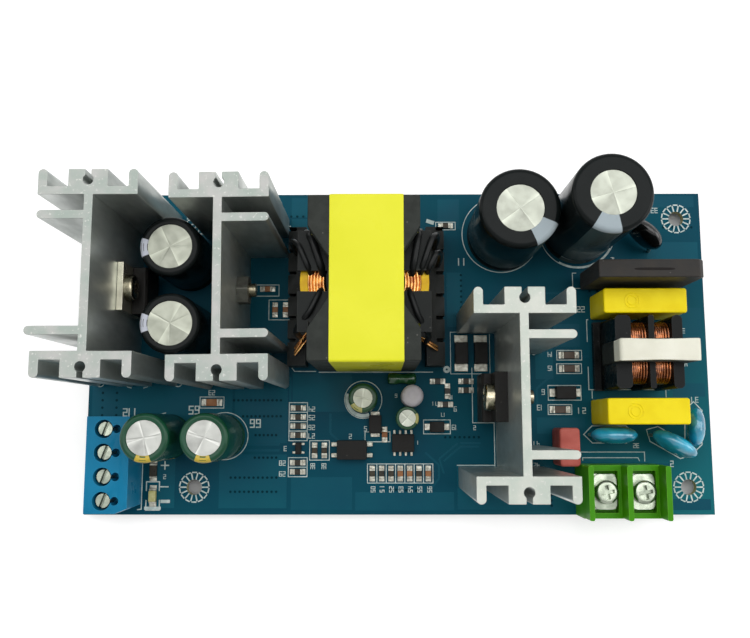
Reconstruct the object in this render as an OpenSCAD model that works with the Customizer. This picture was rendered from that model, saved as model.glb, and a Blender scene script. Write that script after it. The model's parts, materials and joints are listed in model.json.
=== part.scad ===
// Open frame power supply: a populated board with three upright heatsinks, a taped transformer,
// electrolytic capacitors and two terminal blocks.
// Origin: middle of the mounting hole pattern, on the underside of the board.
// X runs left to right, Y front to back, Z up. Places on the board are measured from its middle,
// and the two terminal blocks' distance from its front edge.

/* [Board] */
// Length of the circuit board, left to right
board_l = 140; // [139.5:0.5:146]
// Width of the circuit board, front to back
board_w = 73; // [73:0.5:78]
// Thickness of the circuit board
board_t = 1.6; // [1:0.1:2.4]
// Distance between the mounting holes, left to right
hole_spacing_x = 110; // [109.6:0.2:110.4]
// Distance between the mounting holes, front to back
hole_spacing_y = 61; // [60:0.5:62]
// Diameter of the mounting holes, clear for an M3 screw
hole_d = 3.4; // [3.2:0.1:3.6]
// Distance of the right holes from the board's right end
hole_edge = 5.5; // [5.3:0.1:5.7]
// Drop of the soldered lead tips below the board
tip_drop = 2; // [1.5:0.1:3]
// Diameter of a solder joint at the board
joint_d = 2.2; // [1.6:0.1:2.6]

/* [Heatsinks] */
// Height of each heatsink above the board
sink_h = 35; // [28:1:45]
// Width of each heatsink across its flanges
sink_w = 19.1; // [18.6:0.1:19.2]
// Length of each heatsink, end to end
sink_l = 39.8; // [39:0.1:40.2]
// Thickness of the web
web_t = 1.7; // [1.4:0.1:2]
// Sideways shift of the web from the middle of the flanges
web_shift = -0.2; // [-0.4:0.1:0]
// Thickness of the two flanges
flange_t = 1.65; // [1.3:0.05:2]
// Reach of the end fins past the flanges
end_fin_l = 3.35; // [2.8:0.05:3.8]
// Thickness of the end fins
end_fin_t = 1.8; // [1.4:0.1:2.2]
// Width of the middle block on each flange
block_w = 7.6; // [6:0.1:8.4]
// Diameter of the pin groove in each middle block
groove_d = 2; // [1.6:0.1:2.4]
// Width of the slot that opens the pin groove
groove_slot = 1.1; // [0.8:0.1:1.4]
// Depth of the pin groove's centre below the end of the block
groove_depth = 2.05; // [1.8:0.05:2.2]
// Thickness of the two side fins
side_fin_t = 1.7; // [1.4:0.1:2]
// Distance of each side fin from the middle of the heatsink
side_fin_y = 11.05; // [10:0.05:12]
// Extra length of the left heatsink's front side fin
long_fin = 1.3; // [0:0.1:1.6]
// Place of the left output heatsink, left to right
sink_left_x = -59.45; // [-59.55:0.05:-59.35]
// Place of the left output heatsink, front to back
sink_left_y = 11.86; // [11.76:0.05:11.96]
// Place of the right output heatsink, left to right
sink_right_x = -34.35; // [-34.45:0.05:-34.25]
// Place of the right output heatsink, front to back
sink_right_y = 11.24; // [11.14:0.05:11.34]
// Place of the primary heatsink, left to right
sink_primary_x = 23; // [22.9:0.05:23.1]
// Place of the primary heatsink, front to back
sink_primary_y = -11.07; // [-11.17:0.05:-10.97]
// Turn of the right output heatsink on the board
sink_right_turn = 0.6; // [0:0.1:0.8]

/* [Power devices] */
// Width of a power device
device_w = 10.2; // [9.8:0.1:10.6]
// Thickness of a power device
device_t = 4.5; // [4:0.1:4.8]
// Height of a power device's moulded body
device_body_h = 9.2; // [8.6:0.1:9.8]
// Height of a power device to the top of its tab
device_h = 15.6; // [15:0.1:16]
// Height of a power device above the board
device_lift = 3.5; // [2.5:0.1:5]
// Thickness of a metal tab
tab_t = 1.3; // [1.1:0.1:1.5]
// Thickness of a moulded tab
moulded_tab_t = 2.6; // [2.2:0.1:2.9]
// Drop of the tab's hole below its top
tab_hole_drop = 2.9; // [2.7:0.1:3.2]
// Diameter of the tab's hole
tab_hole_d = 3.6; // [3.4:0.1:3.8]
// Distance between a device's leads
lead_pitch = 2.54; // [2.5:0.01:2.6]
// Width of a device's leads
lead_w = 0.8; // [0.6:0.05:1]
// Thickness of a device's leads
lead_t = 0.5; // [0.4:0.05:0.6]
// Diameter of the fixing screws
screw_d = 2.9; // [2.8:0.05:3]
// Diameter of the fixing screws' heads
screw_head_d = 5.6; // [5.4:0.1:6]
// Height of the fixing screws' heads
screw_head_h = 1.9; // [1.7:0.1:2.2]
// Width of the nuts across their flats
nut_w = 5.5; // [5.3:0.1:5.7]
// Height of the nuts
nut_h = 2.4; // [2.2:0.1:2.6]
// Length of screw that shows past each nut
screw_tail = 1.4; // [0.5:0.1:2]

/* [Electrolytic capacitors] */
// Diameter of the output capacitors
output_cap_d = 12.6; // [12.2:0.1:12.7]
// Height of the output capacitors
output_cap_h = 20; // [18:0.5:22]
// Distance of the back output capacitor from the middle of the left heatsink
output_back_reach = 12; // [11.9:0.05:12.2]
// Distance of the front output capacitor from the middle of the left heatsink
output_front_reach = 12.45; // [12.3:0.05:12.6]
// Share of the free length between the flanges that lies behind the back output capacitor
back_share = 0.1; // [0.05:0.01:0.2]
// Share of the free length between the flanges that lies before the front output capacitor
front_share = 0.15; // [0.05:0.01:0.2]
// Diameter of the left bulk capacitor
bulk_left_cap_d = 16.6; // [16:0.1:16.8]
// Height of the left bulk capacitor
bulk_left_cap_h = 25; // [22:0.5:30]
// Place of the left bulk capacitor, left to right
bulk_left_x = 24.4; // [24.3:0.05:24.5]
// Place of the left bulk capacitor, front to back
bulk_left_y = 26.6; // [26.5:0.05:26.7]
// Diameter of the right bulk capacitor
bulk_right_cap_d = 16; // [15.6:0.1:16]
// Height of the right bulk capacitor
bulk_right_cap_h = 31.5; // [30:0.5:35]
// Place of the right bulk capacitor, left to right
bulk_right_x = 41.35; // [41.25:0.05:41.45]
// Place of the right bulk capacitor, front to back
bulk_right_y = 27.9; // [27.8:0.05:28]
// Diameter of the output filter capacitors
filter_cap_d = 10; // [9.6:0.1:10]
// Height of the output filter capacitors
filter_cap_h = 20.5; // [18:0.5:22]
// Place of the left filter capacitor, left to right
filter_left_x = -51.35; // [-51.45:0.05:-51.25]
// Place of the left filter capacitor, front to back
filter_left_y = -19.3; // [-19.4:0.05:-19.2]
// Place of the right filter capacitor, left to right
filter_right_x = -39.3; // [-39.4:0.05:-39.2]
// Place of the right filter capacitor, front to back
filter_right_y = -19.3; // [-19.4:0.05:-19.2]
// Diameter of the supply capacitor
supply_cap_d = 6.3; // [6:0.1:6.4]
// Height of the supply capacitor
supply_cap_h = 9; // [8:0.5:11]
// Place of the supply capacitor, left to right
supply_x = -7.7; // [-7.8:0.05:-7.6]
// Place of the supply capacitor, front to back
supply_y = -11; // [-11.1:0.05:-10.9]
// Diameter of the feedback capacitor
feedback_cap_d = 5; // [4.8:0.1:5.1]
// Height of the feedback capacitor
feedback_cap_h = 8; // [7.5:0.5:10]
// Place of the feedback capacitor, left to right
feedback_x = 1.9; // [1.8:0.05:2]
// Place of the feedback capacitor, front to back
feedback_y = -15.3; // [-15.4:0.05:-15.2]
// Thickness of the shrunk sleeve
sleeve_t = 0.25; // [0.2:0.05:0.4]
// Rounding of a capacitor's top edge, as a share of its diameter
cap_round = 0.055; // [0.04:0.005:0.08]
// Bare top of the bulk capacitors, as a share of their diameter
bulk_bare = 0.56; // [0.5:0.01:0.8]
// Bare top of the other capacitors, as a share of their diameter
small_bare = 0.7; // [0.6:0.01:0.8]
// Width of the safety scores on a capacitor's top
score_w = 0.3; // [0.2:0.05:0.4]
// Depth of the safety scores
score_depth = 0.2; // [0.1:0.05:0.3]

/* [Small inductors] */
// Diameter of the upright inductor
radial_d = 4.8; // [4.6:0.1:4.8]
// Height of the upright inductor
radial_h = 8.5; // [8:0.1:9]
// Place of the upright inductor, left to right
radial_x = 3; // [2.9:0.05:3.1]
// Place of the upright inductor, front to back
radial_y = -10.5; // [-10.55:0.05:-10.4]
// Length of the lying inductor
axial_l = 6.6; // [6.2:0.1:6.8]
// Diameter of the lying inductor at its ends
axial_d = 2.6; // [2.4:0.1:2.7]
// Diameter of the lying inductor at its waist
axial_waist_d = 2.2; // [2:0.1:2.4]
// Place of the lying inductor, left to right
axial_x = 0.9; // [0.8:0.05:1]
// Place of the lying inductor, front to back
axial_y = -6.5; // [-6.55:0.05:-6.4]

/* [Transformer] */
// Place of the transformer, left to right
transformer_x = -7.05; // [-7.15:0.05:-6.95]
// Place of the transformer, front to back
transformer_y = 11.7; // [11.6:0.05:11.8]
// Width of the ferrite core
core_w = 22; // [21:0.1:22.4]
// Length of the ferrite core, front to back
core_l = 32.6; // [32:0.1:33]
// Height of the top of the ferrite core
core_top = 30; // [28:0.5:34]
// Height of the core's underside
core_foot = 0.7; // [0.5:0.1:1]
// Thickness of the core's end plates
core_plate_t = 4.6; // [4:0.1:5]
// Width of the core's waist
core_waist_w = 13.8; // [13:0.1:14.2]
// Length of the core's straight waist
core_waist_l = 8; // [6:0.5:9]
// Length over which the core keeps its full width at each end
core_end_l = 6.2; // [5.5:0.1:6.6]
// Diameter of the core's middle leg
core_leg_d = 13.4; // [13:0.1:13.8]
// Diameter of the room for the winding between the core's outer legs
winding_room_d = 27.5; // [27.2:0.1:28]
// Width of the yellow tape over the core
core_tape_w = 14.5; // [14.3:0.1:16]
// Shift of the tape from the middle of the core
core_tape_shift = 0.5; // [0:0.1:0.6]
// Thickness of the tape over the core
tape_t = 0.25; // [0.15:0.05:0.4]
// Width of the bobbin's cheeks
cheek_w = 26.6; // [26:0.1:27]
// Length of the bobbin's cheeks
cheek_l = 20.4; // [19:0.1:21]
// Thickness of the bobbin's cheeks
cheek_t = 1.1; // [0.8:0.1:1.4]
// Width of the winding windows in the bobbin's top cheek
window_l = 4.2; // [3.5:0.1:5]
// Length of the bobbin's pin rails
rail_l = 31; // [28:0.5:32]
// Width of the bobbin's pin rails
rail_w = 4; // [3.5:0.1:4.2]
// Height of the bobbin's pin rails
rail_h = 6; // [5:0.1:7]
// Number of pins on each rail
rail_pins = 6; // [4:1:6]
// Diameter of the copper winding
winding_d = 22.8; // [21:0.1:23]
// Diameter over the winding's own tape
winding_tape_d = 26; // [25.6:0.1:26.4]

/* [Mains choke] */
// Place of the choke, left to right
choke_x = 52.95; // [52.85:0.05:53.05]
// Place of the choke, front to back
choke_y = -1.55; // [-1.65:0.05:-1.45]
// Length of the choke's core
choke_l = 16; // [15.4:0.1:16.4]
// Width of the choke's core
choke_core_w = 4.6; // [4:0.1:4.8]
// Height of the top of the choke's core
choke_h = 19.6; // [19:0.1:21]
// Width of the core's upright legs
choke_leg_w = 2.9; // [2.6:0.1:3]
// Height of the core's two beams
choke_beam_h = 3.6; // [3.2:0.1:4]
// Width of the choke's bobbin, front to back
choke_bobbin_w = 15.4; // [14.6:0.1:15.6]
// Length of the left end block of the choke's bobbin
choke_blocks_left = 3.3; // [3.1:0.1:3.3]
// Length of the right end block of the choke's bobbin
choke_blocks_right = 2.2; // [2:0.1:2.6]
// Room for the choke's windings between the end blocks
choke_room = 8.6; // [8.2:0.1:8.8]
// Height of the choke's bobbin
choke_bobbin_h = 13.8; // [13.4:0.1:14]
// Width of the choke's windings, front to back
choke_coil_w = 13.2; // [12.6:0.1:13.6]
// Turns that show in each half of the choke
choke_turns = 6; // [4:1:8]
// Thickness of the tape band round the choke's core
choke_tape_t = 0.3; // [0.2:0.05:0.4]

/* [Mains parts] */
// Length of the front suppression capacitor
x_front_l = 17.2; // [16.8:0.1:17.4]
// Width of the front suppression capacitor
x_front_w = 5.5; // [5.2:0.1:5.6]
// Height of the front suppression capacitor
x_front_h = 14; // [13:0.5:15]
// Place of the front suppression capacitor, left to right
x_front_x = 52; // [51.9:0.05:52.1]
// Place of the front suppression capacitor, front to back
x_front_y = -13.95; // [-14.05:0.05:-13.85]
// Length of the back suppression capacitor
x_back_l = 17.8; // [17.4:0.1:18]
// Width of the back suppression capacitor
x_back_w = 5.4; // [5.2:0.1:5.5]
// Height of the back suppression capacitor
x_back_h = 12; // [11.5:0.5:13]
// Place of the back suppression capacitor, left to right
x_back_x = 52.8; // [52.7:0.05:52.9]
// Place of the back suppression capacitor, front to back
x_back_y = 9.65; // [9.55:0.05:9.75]
// Length of the bridge rectifier
bridge_l = 22; // [21.4:0.1:22.2]
// Thickness of the bridge rectifier
bridge_t = 3.8; // [3.5:0.1:4]
// Height of the bridge rectifier
bridge_h = 16.4; // [15:0.2:17]
// Place of the bridge rectifier, left to right
bridge_x = 52.3; // [52.2:0.05:52.4]
// Place of the bridge rectifier, front to back
bridge_y = 15.4; // [15.3:0.05:15.5]
// Height of the bridge rectifier above the board
bridge_lift = 2.4; // [1.5:0.1:3]
// Length of the fuse
fuse_l = 4.4; // [4.2:0.1:4.5]
// Width, front to back of the fuse
fuse_w = 8.2; // [8:0.1:8.3]
// Height of the fuse
fuse_h = 8; // [7.5:0.1:8.5]
// Place of the fuse, left to right
fuse_x = 36.65; // [36.55:0.05:36.75]
// Place of the fuse, front to back
fuse_y = -21.5; // [-21.6:0.05:-21.4]
// Diameter of the left and middle safety capacitors
y_cap_d = 10.6; // [10.2:0.1:10.7]
// Thickness of the left and middle safety capacitors
y_cap_t = 3.8; // [3.4:0.1:3.9]
// Diameter of the right safety capacitor
y_cap_small_d = 8.8; // [8.4:0.1:8.9]
// Thickness of the right safety capacitor
y_cap_small_t = 3.6; // [3.2:0.1:3.8]
// Height of the discs' middles above the board
disc_z = 6.5; // [6.2:0.1:7]
// Place of the left safety capacitor, left to right
y_left_x = 46.55; // [46.45:0.05:46.65]
// Place of the left safety capacitor, front to back
y_left_y = -18.95; // [-19.05:0.05:-18.85]
// Place of the middle safety capacitor, left to right
y_middle_x = 59.55; // [59.45:0.05:59.65]
// Place of the middle safety capacitor, front to back
y_middle_y = -20.9; // [-21:0.05:-20.8]
// Place of the right safety capacitor's foot, left to right
y_right_x = 66.1; // [66:0.05:66.2]
// Place of the right safety capacitor's foot, front to back
y_right_y = -17.3; // [-17.4:0.05:-17.2]
// Lean of the right safety capacitor to the left
y_right_lean = 15; // [0:1:18]
// Diameter of the thermistor
thermistor_d = 9.4; // [9:0.1:9.6]
// Thickness of the thermistor
thermistor_t = 4; // [3.6:0.1:4.2]
// Place of the thermistor, left to right
thermistor_x = 55.1; // [55:0.05:55.2]
// Place of the thermistor, front to back
thermistor_y = 25.4; // [25.3:0.05:25.5]
// Diameter of round leads
wire_d = 0.7; // [0.5:0.05:0.8]
// Diameter of the bridge rectifier's leads
bridge_lead_d = 1; // [0.8:0.1:1.2]

/* [Output terminal block] */
// Place of the output terminal block, left to right
output_block_x = -62; // [-62.1:0.05:-61.9]
// Middle of the output terminal block from the board's front edge
output_block_y = 11.4; // [11.3:0.05:11.5]
// Width of the output block, front to back
output_block_w = 20.4; // [20.3:0.05:20.6]
// Depth of the output block, left to right
output_block_d = 9.2; // [9:0.1:9.4]
// Height of the output block
output_block_h = 10; // [9.5:0.1:12]
// Distance between the output block's screws
output_pitch = 5.04; // [5:0.01:5.08]
// Shift of the screws from the middle of the output block
output_screw_x = -0.9; // [-1:0.05:-0.7]
// Diameter of the screw wells
well_d = 3.9; // [3.7:0.1:4]
// Diameter of the clamp screws
clamp_screw_d = 3.1; // [2.9:0.1:3.3]
// Depth of the clamp screws below the top of the output block
clamp_sink = 1; // [0.5:0.1:2]
// Diameter of the test holes beside the screws
test_hole_d = 1.8; // [1.5:0.1:2]
// Width of the wire entries
entry_w = 3.9; // [3.7:0.1:4]
// Height of the wire entries
entry_h = 3.9; // [3.6:0.1:4]

/* [Input terminal block] */
// Place of the input terminal block, left to right
input_block_x = 47.95; // [47.85:0.05:48.05]
// Middle of the input terminal block from the board's front edge
input_block_y = 5.6; // [5.5:0.05:5.7]
// Distance between the input block's screws
input_pitch = 8.05; // [8:0.05:8.1]
// Depth of the input block, front to back
input_block_d = 11.2; // [11:0.1:11.3]
// Height of the input block's floor
input_floor_h = 7.6; // [7:0.1:8]
// Height of the input block's dividers
divider_h = 12.3; // [11.5:0.1:15]
// Thickness of the input block's dividers
divider_t = 1.1; // [1:0.05:1.3]
// Diameter of the input screws' heads
input_head_d = 5; // [4.6:0.1:5.2]
// Height of the input screws' heads
input_head_h = 1.8; // [1.6:0.1:2]
// Width of the input screws' square washers
washer_w = 4.8; // [4.6:0.1:5]
// Length of the input screws' square washers
washer_l = 7.4; // [7:0.1:7.6]
// Thickness of the input screws' square washers
washer_t = 0.8; // [0.6:0.1:1]

/* [Small parts] */
// Length of a small chip part
chip_small_l = 2; // [1.9:0.05:2.1]
// Width of a small chip part
chip_small_w = 1.25; // [1.2:0.05:1.3]
// Height of a small chip part
chip_small_h = 0.55; // [0.45:0.05:0.7]
// Length of a middle-sized chip part
chip_middle_l = 3.2; // [3:0.05:3.3]
// Width of a middle-sized chip part
chip_middle_w = 1.6; // [1.5:0.05:1.7]
// Height of a middle-sized chip part
chip_middle_h = 0.6; // [0.5:0.05:0.8]
// Length of a chip part's metal ends
chip_end_l = 0.4; // [0.3:0.05:0.5]
// Reach of the solder past a chip part's ends
chip_pad_l = 0.75; // [0.5:0.05:0.8]
// Height of the solder at a chip part's ends
chip_pad_h = 0.2; // [0.1:0.05:0.3]

/* [Hidden] */

// How far a cut runs past the face it opens.
over = 1;
// Play between a piece and the hollow that holds it.
play = 0.1;
// Facets of small and of large round shapes.
$fn = 32;
round_fn = 64;

hole_shift_x = board_l / 2 - hole_edge - hole_spacing_x / 2;

// Places and sizes as vectors.
sink_left_at = [sink_left_x, sink_left_y];
sink_right_at = [sink_right_x, sink_right_y];
sink_primary_at = [sink_primary_x, sink_primary_y];
output_cap = [output_cap_d, output_cap_h];
bulk_left_cap = [bulk_left_cap_d, bulk_left_cap_h];
bulk_left_at = [bulk_left_x, bulk_left_y];
bulk_right_cap = [bulk_right_cap_d, bulk_right_cap_h];
bulk_right_at = [bulk_right_x, bulk_right_y];
filter_cap = [filter_cap_d, filter_cap_h];
filter_left_at = [filter_left_x, filter_left_y];
filter_right_at = [filter_right_x, filter_right_y];
supply_cap = [supply_cap_d, supply_cap_h];
supply_at = [supply_x, supply_y];
feedback_cap = [feedback_cap_d, feedback_cap_h];
feedback_at = [feedback_x, feedback_y];
transformer_at = [transformer_x, transformer_y];
choke_at = [choke_x, choke_y];
choke_blocks = [choke_blocks_left, choke_blocks_right];
x_front = [x_front_l, x_front_w, x_front_h];
x_front_at = [x_front_x, x_front_y];
x_back = [x_back_l, x_back_w, x_back_h];
x_back_at = [x_back_x, x_back_y];
bridge = [bridge_l, bridge_t, bridge_h];
bridge_at = [bridge_x, bridge_y];
fuse = [fuse_l, fuse_w, fuse_h];
fuse_at = [fuse_x, fuse_y];
y_cap = [y_cap_d, y_cap_t];
y_cap_small = [y_cap_small_d, y_cap_small_t];
y_left_at = [y_left_x, y_left_y];
y_middle_at = [y_middle_x, y_middle_y];
y_right_at = [y_right_x, y_right_y];
thermistor = [thermistor_d, thermistor_t];
thermistor_at = [thermistor_x, thermistor_y];
output_block_at = [output_block_x, output_block_y - board_w / 2];
entry = [entry_w, entry_h];
input_block_at = [input_block_x, input_block_y - board_w / 2];
input_head = [input_head_d, input_head_h];
washer = [washer_w, washer_l, washer_t];
chip_small = [chip_small_l, chip_small_w, chip_small_h];
chip_middle = [chip_middle_l, chip_middle_w, chip_middle_h];

flange_y = sink_l / 2 - end_fin_l;
channel_y = flange_y - flange_t;
web_face = web_shift - web_t / 2;
tab_hole_z = device_h - tab_hole_drop;

// The two output capacitors share the free length between the left heatsink's flanges.
cap_slack = 2 * channel_y - 2 * output_cap_d;
output_back_at = sink_left_at + [output_back_reach, channel_y - back_share * cap_slack - output_cap_d / 2];
output_front_at = sink_left_at + [output_front_reach, front_share * cap_slack + output_cap_d / 2 - channel_y];

// Lead spacings of capacitors and discs.
cap_pitch = 5;
thin_pitch = 2.5;
disc_pitch = 7.5;

// Place, turn and device tab of each heatsink.
sinks = [
    [sink_left_at, 180, tab_t],
    [sink_right_at, sink_right_turn, tab_t],
    [sink_primary_at, 0, moulded_tab_t]
];

// ---- Shared shapes ----

// Moves its children onto the board's top face.
module on_board(at, turn = 0) {
    translate([at[0] - hole_shift_x, at[1], board_t]) rotate([0, 0, turn]) children();
}

// A block with rounded upright edges that stands on the XY plane.
module rounded_block(size, r) {
    linear_extrude(size[2]) rounded_rect([size[0], size[1]], r);
}

// A rectangle with round corners, centred on the origin.
module rounded_rect(size, r) {
    square([size[0] - 2 * r, size[1]], center = true);
    square([size[0], size[1] - 2 * r], center = true);
    for (x = [-1, 1], y = [-1, 1]) translate([x * (size[0] / 2 - r), y * (size[1] / 2 - r)]) circle(r);
}

// Half the section of a turned body: a rectangle whose top outer corner is rounded.
module turned_half(r, h, corner) {
    square([r, h - corner]);
    square([r - corner, h]);
    translate([r - corner, h - corner]) circle(corner);
}

// A straight round wire between two points.
module wire(from, to, d) {
    run = to - from;
    flat = norm([run[0], run[1]]);
    translate(from) rotate([0, atan2(flat, run[2]), atan2(run[1], run[0])]) cylinder(d = d, h = norm(run));
}

// Points of a straight row, evenly spaced about its middle.
function row(at, count, pitch, turn) = [
    for (i = [0:count - 1])
        let (s = (i - (count - 1) / 2) * pitch)
            [at[0] + s * cos(turn), at[1] + s * sin(turn)]
];

// ---- Board ----

module circuit_board() {
    color("#0d4858") difference() {
        translate([-board_l / 2 - hole_shift_x, -board_w / 2, 0]) cube([board_l, board_w, board_t]);
        for (x = [-1, 1], y = [-1, 1])
            translate([x * hole_spacing_x / 2, y * hole_spacing_y / 2, -over])
                cylinder(d = hole_d, h = board_t + 2 * over, $fn = round_fn);
    }
}

// ---- Heatsinks ----

// One end of the extrusion: flange, end fins, the middle block with its pin groove, and a side fin.
module sink_end(longer = 0) {
    side_fin_tip = (sink_w - side_fin_t) / 2 + longer;
    groove_y = sink_l / 2 - groove_depth;
    difference() {
        union() {
            translate([-sink_w / 2, channel_y]) square([sink_w, flange_t]);
            for (side = [-1, 1]) translate([side * (sink_w - end_fin_t) / 2, 0]) {
                translate([-end_fin_t / 2, flange_y - flange_t / 2])
                    square([end_fin_t, end_fin_l + flange_t / 2 - end_fin_t / 2]);
                translate([0, sink_l / 2 - end_fin_t / 2]) circle(d = end_fin_t);
            }
            translate([-block_w / 2, flange_y - flange_t / 2]) square([block_w, end_fin_l + flange_t / 2]);
        }
        translate([0, groove_y]) circle(d = groove_d);
        translate([-groove_slot / 2, groove_y]) square([groove_slot, groove_depth + over]);
    }
    translate([web_shift, side_fin_y - side_fin_t / 2]) square([side_fin_tip - web_shift, side_fin_t]);
    translate([side_fin_tip, side_fin_y]) circle(d = side_fin_t);
}

module heatsink(sink, longer = 0) {
    color("#c4ccc6") on_board(sink[0], sink[1]) difference() {
        linear_extrude(sink_h) {
            translate([web_face, -flange_y]) square([web_t, 2 * flange_y]);
            sink_end(longer);
            mirror([0, 1]) sink_end();
        }
        translate([web_face - over, 0, device_lift + tab_hole_z])
            rotate([0, 90, 0]) cylinder(d = tab_hole_d, h = web_t + 2 * over);
    }
}

module heatsink_left() heatsink(sinks[0], long_fin);
module heatsink_right() heatsink(sinks[1]);
module heatsink_primary() heatsink(sinks[2]);

// Moves its children to the foot of a device, whose back lies on the web and which faces -X.
module at_device(sink) {
    on_board(sink[0], sink[1]) translate([web_face, 0, device_lift]) children();
}

// Where the middle lead of a device meets the board.
lead_x = (device_t + tab_t) / 2;
function device_foot(sink) =
    sink[0] + (web_face - lead_x) * [cos(sink[1]), sin(sink[1])];

module heatsink_screws() {
    recess_w = 0.7;
    recess_l = 3;
    recess_depth = 1.1;
    for (sink = sinks)
        color("#b9b9ae") at_device(sink) translate([-sink[2], 0, tab_hole_z]) {
            length = sink[2] + web_t + nut_h + screw_tail;
            rotate([0, 90, 0]) cylinder(d = screw_d, h = length);
            rotate([0, -90, 0]) difference() {
                rotate_extrude($fn = round_fn) turned_half(screw_head_d / 2, screw_head_h, screw_head_h / 3);
                for (turn = [0, 90]) rotate([0, 0, turn + 45])
                    translate([-recess_l / 2, -recess_w / 2, screw_head_h - recess_depth])
                        cube([recess_l, recess_w, recess_depth + over]);
            }
        }
}

module heatsink_nuts() {
    for (sink = sinks)
        color("#a9a99f") at_device(sink) translate([web_t, 0, tab_hole_z]) rotate([0, 90, 0]) difference() {
            cylinder(d = nut_w / cos(30), h = nut_h, $fn = 6);
            translate([0, 0, -over]) cylinder(d = screw_d + play, h = nut_h + 2 * over);
        }
}

// ---- Power devices ----

module device_leads() {
    for (y = [-1:1]) translate([-lead_x - lead_t / 2, y * lead_pitch - lead_w / 2, -device_lift])
        cube([lead_t, lead_w, device_lift]);
}

module device_body() {
    chamfer = 0.5;
    translate([0, device_w / 2, 0]) rotate([90, 0, 0]) linear_extrude(device_w) polygon([
        [-tab_t, 0], [-device_t + chamfer, 0], [-device_t, chamfer],
        [-device_t, device_body_h - chamfer], [-device_t + chamfer, device_body_h], [-tab_t, device_body_h]
    ]);
}

// A plate with the fixing hole, from the body's foot to the top of the tab.
module device_plate(t) {
    difference() {
        translate([-t, -device_w / 2, 0]) cube([t, device_w, device_h]);
        translate([-t - over, 0, tab_hole_z]) rotate([0, 90, 0]) cylinder(d = tab_hole_d, h = t + 2 * over);
    }
}

module left_device_body() color("#20211f") at_device(sinks[0]) device_body();
module left_device_tab() color("#c9c4b8") at_device(sinks[0]) {
    device_plate(tab_t);
    device_leads();
}
module right_device_body() color("#20211f") at_device(sinks[1]) device_body();
module right_device_tab() color("#c9c4b8") at_device(sinks[1]) {
    device_plate(tab_t);
    device_leads();
}
module primary_switch_body() color("#191a18") at_device(sinks[2]) {
    device_plate(moulded_tab_t);
    device_body();
}
module primary_switch_leads() color("silver") at_device(sinks[2]) device_leads();

// ---- Electrolytic capacitors ----

cap_foot = 0.3;
bead_r = 0.45;
bead_z = 2.2;

// The aluminium can, scored on top. Scores cross its middle.
module can(cap, scores) {
    r = cap[0] / 2 - sleeve_t;
    h = cap[1] - cap_foot - sleeve_t;
    difference() {
        rotate_extrude($fn = round_fn) difference() {
            turned_half(r, h, cap_round * cap[0]);
            translate([r + sleeve_t, bead_z]) circle(bead_r + sleeve_t);
        }
        for (i = [0:scores - 1]) rotate([0, 0, 180 / scores * i + 20])
            translate([-cap[0] / 4, -score_w / 2, h - score_depth]) cube([cap[0] / 2, score_w, over]);
    }
}

// The sleeve shrunk round the can, open at the bare part of the top.
module sleeve(cap, bare) {
    r = cap[0] / 2;
    h = cap[1] - cap_foot;
    rotate_extrude($fn = round_fn) difference() {
        turned_half(r, h, cap_round * cap[0] + sleeve_t);
        turned_half(r - sleeve_t, h - sleeve_t, cap_round * cap[0]);
        translate([0, h / 2]) square([r * bare, h]);
        translate([r, bead_z]) circle(bead_r);
    }
    rotate_extrude($fn = round_fn) difference() {
        translate([r - 2 * bead_r, bead_z - 2 * bead_r]) square([2 * bead_r, 4 * bead_r]);
        translate([r, bead_z]) circle(bead_r);
        translate([r - 3 * bead_r, bead_z - 3 * bead_r]) difference() {
            square([3 * bead_r - sleeve_t, 6 * bead_r]);
            translate([3 * bead_r, 3 * bead_r]) circle(bead_r + sleeve_t);
        }
    }
}

module cap_can(at, cap, scores) {
    color("#d8d9d6") on_board(at) translate([0, 0, cap_foot]) can(cap, scores);
}
module cap_sleeve(at, cap, bare, tint) {
    color(tint) on_board(at) translate([0, 0, cap_foot]) sleeve(cap, bare);
}

module output_cap_back_can() cap_can(output_back_at, output_cap, 3);
module output_cap_back_sleeve() cap_sleeve(output_back_at, output_cap, small_bare, "#1e211f");
module output_cap_front_can() cap_can(output_front_at, output_cap, 3);
module output_cap_front_sleeve() cap_sleeve(output_front_at, output_cap, small_bare, "#1e211f");
module bulk_cap_left_can() cap_can(bulk_left_at, bulk_left_cap, 3);
module bulk_cap_left_sleeve() cap_sleeve(bulk_left_at, bulk_left_cap, bulk_bare, "#1e211f");
module bulk_cap_right_can() cap_can(bulk_right_at, bulk_right_cap, 3);
module bulk_cap_right_sleeve() cap_sleeve(bulk_right_at, bulk_right_cap, bulk_bare, "#1e211f");
module filter_cap_left_can() cap_can(filter_left_at, filter_cap, 2);
module filter_cap_left_sleeve() cap_sleeve(filter_left_at, filter_cap, small_bare, "#0f4632");
module filter_cap_right_can() cap_can(filter_right_at, filter_cap, 2);
module filter_cap_right_sleeve() cap_sleeve(filter_right_at, filter_cap, small_bare, "#0f4632");
module supply_cap_can() cap_can(supply_at, supply_cap, 2);
module supply_cap_sleeve() cap_sleeve(supply_at, supply_cap, small_bare, "#14402a");
module feedback_cap_can() cap_can(feedback_at, feedback_cap, 2);
module feedback_cap_sleeve() cap_sleeve(feedback_at, feedback_cap, small_bare, "#14402a");

// ---- Small inductors ----

module radial_inductor() {
    corner = 1;
    color("#a9a0a2") on_board([radial_x, radial_y]) translate([0, 0, cap_foot])
        rotate_extrude($fn = round_fn) turned_half(radial_d / 2, radial_h, corner);
}

module axial_inductor() {
    rise = 1.8;
    color("#1f5a34") on_board([axial_x, axial_y]) translate([0, 0, rise]) rotate([0, 90, 0]) {
        cylinder(d = axial_waist_d, h = axial_l, center = true);
        for (end = [-1, 1]) translate([0, 0, end * axial_l / 3])
            cylinder(d = axial_d, h = axial_l / 3, center = true);
    }
}

// ---- Transformer ----

rail_x = (cheek_w + rail_w) / 2;
room_low = core_foot + core_plate_t;
room_high = core_top - core_plate_t;

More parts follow.
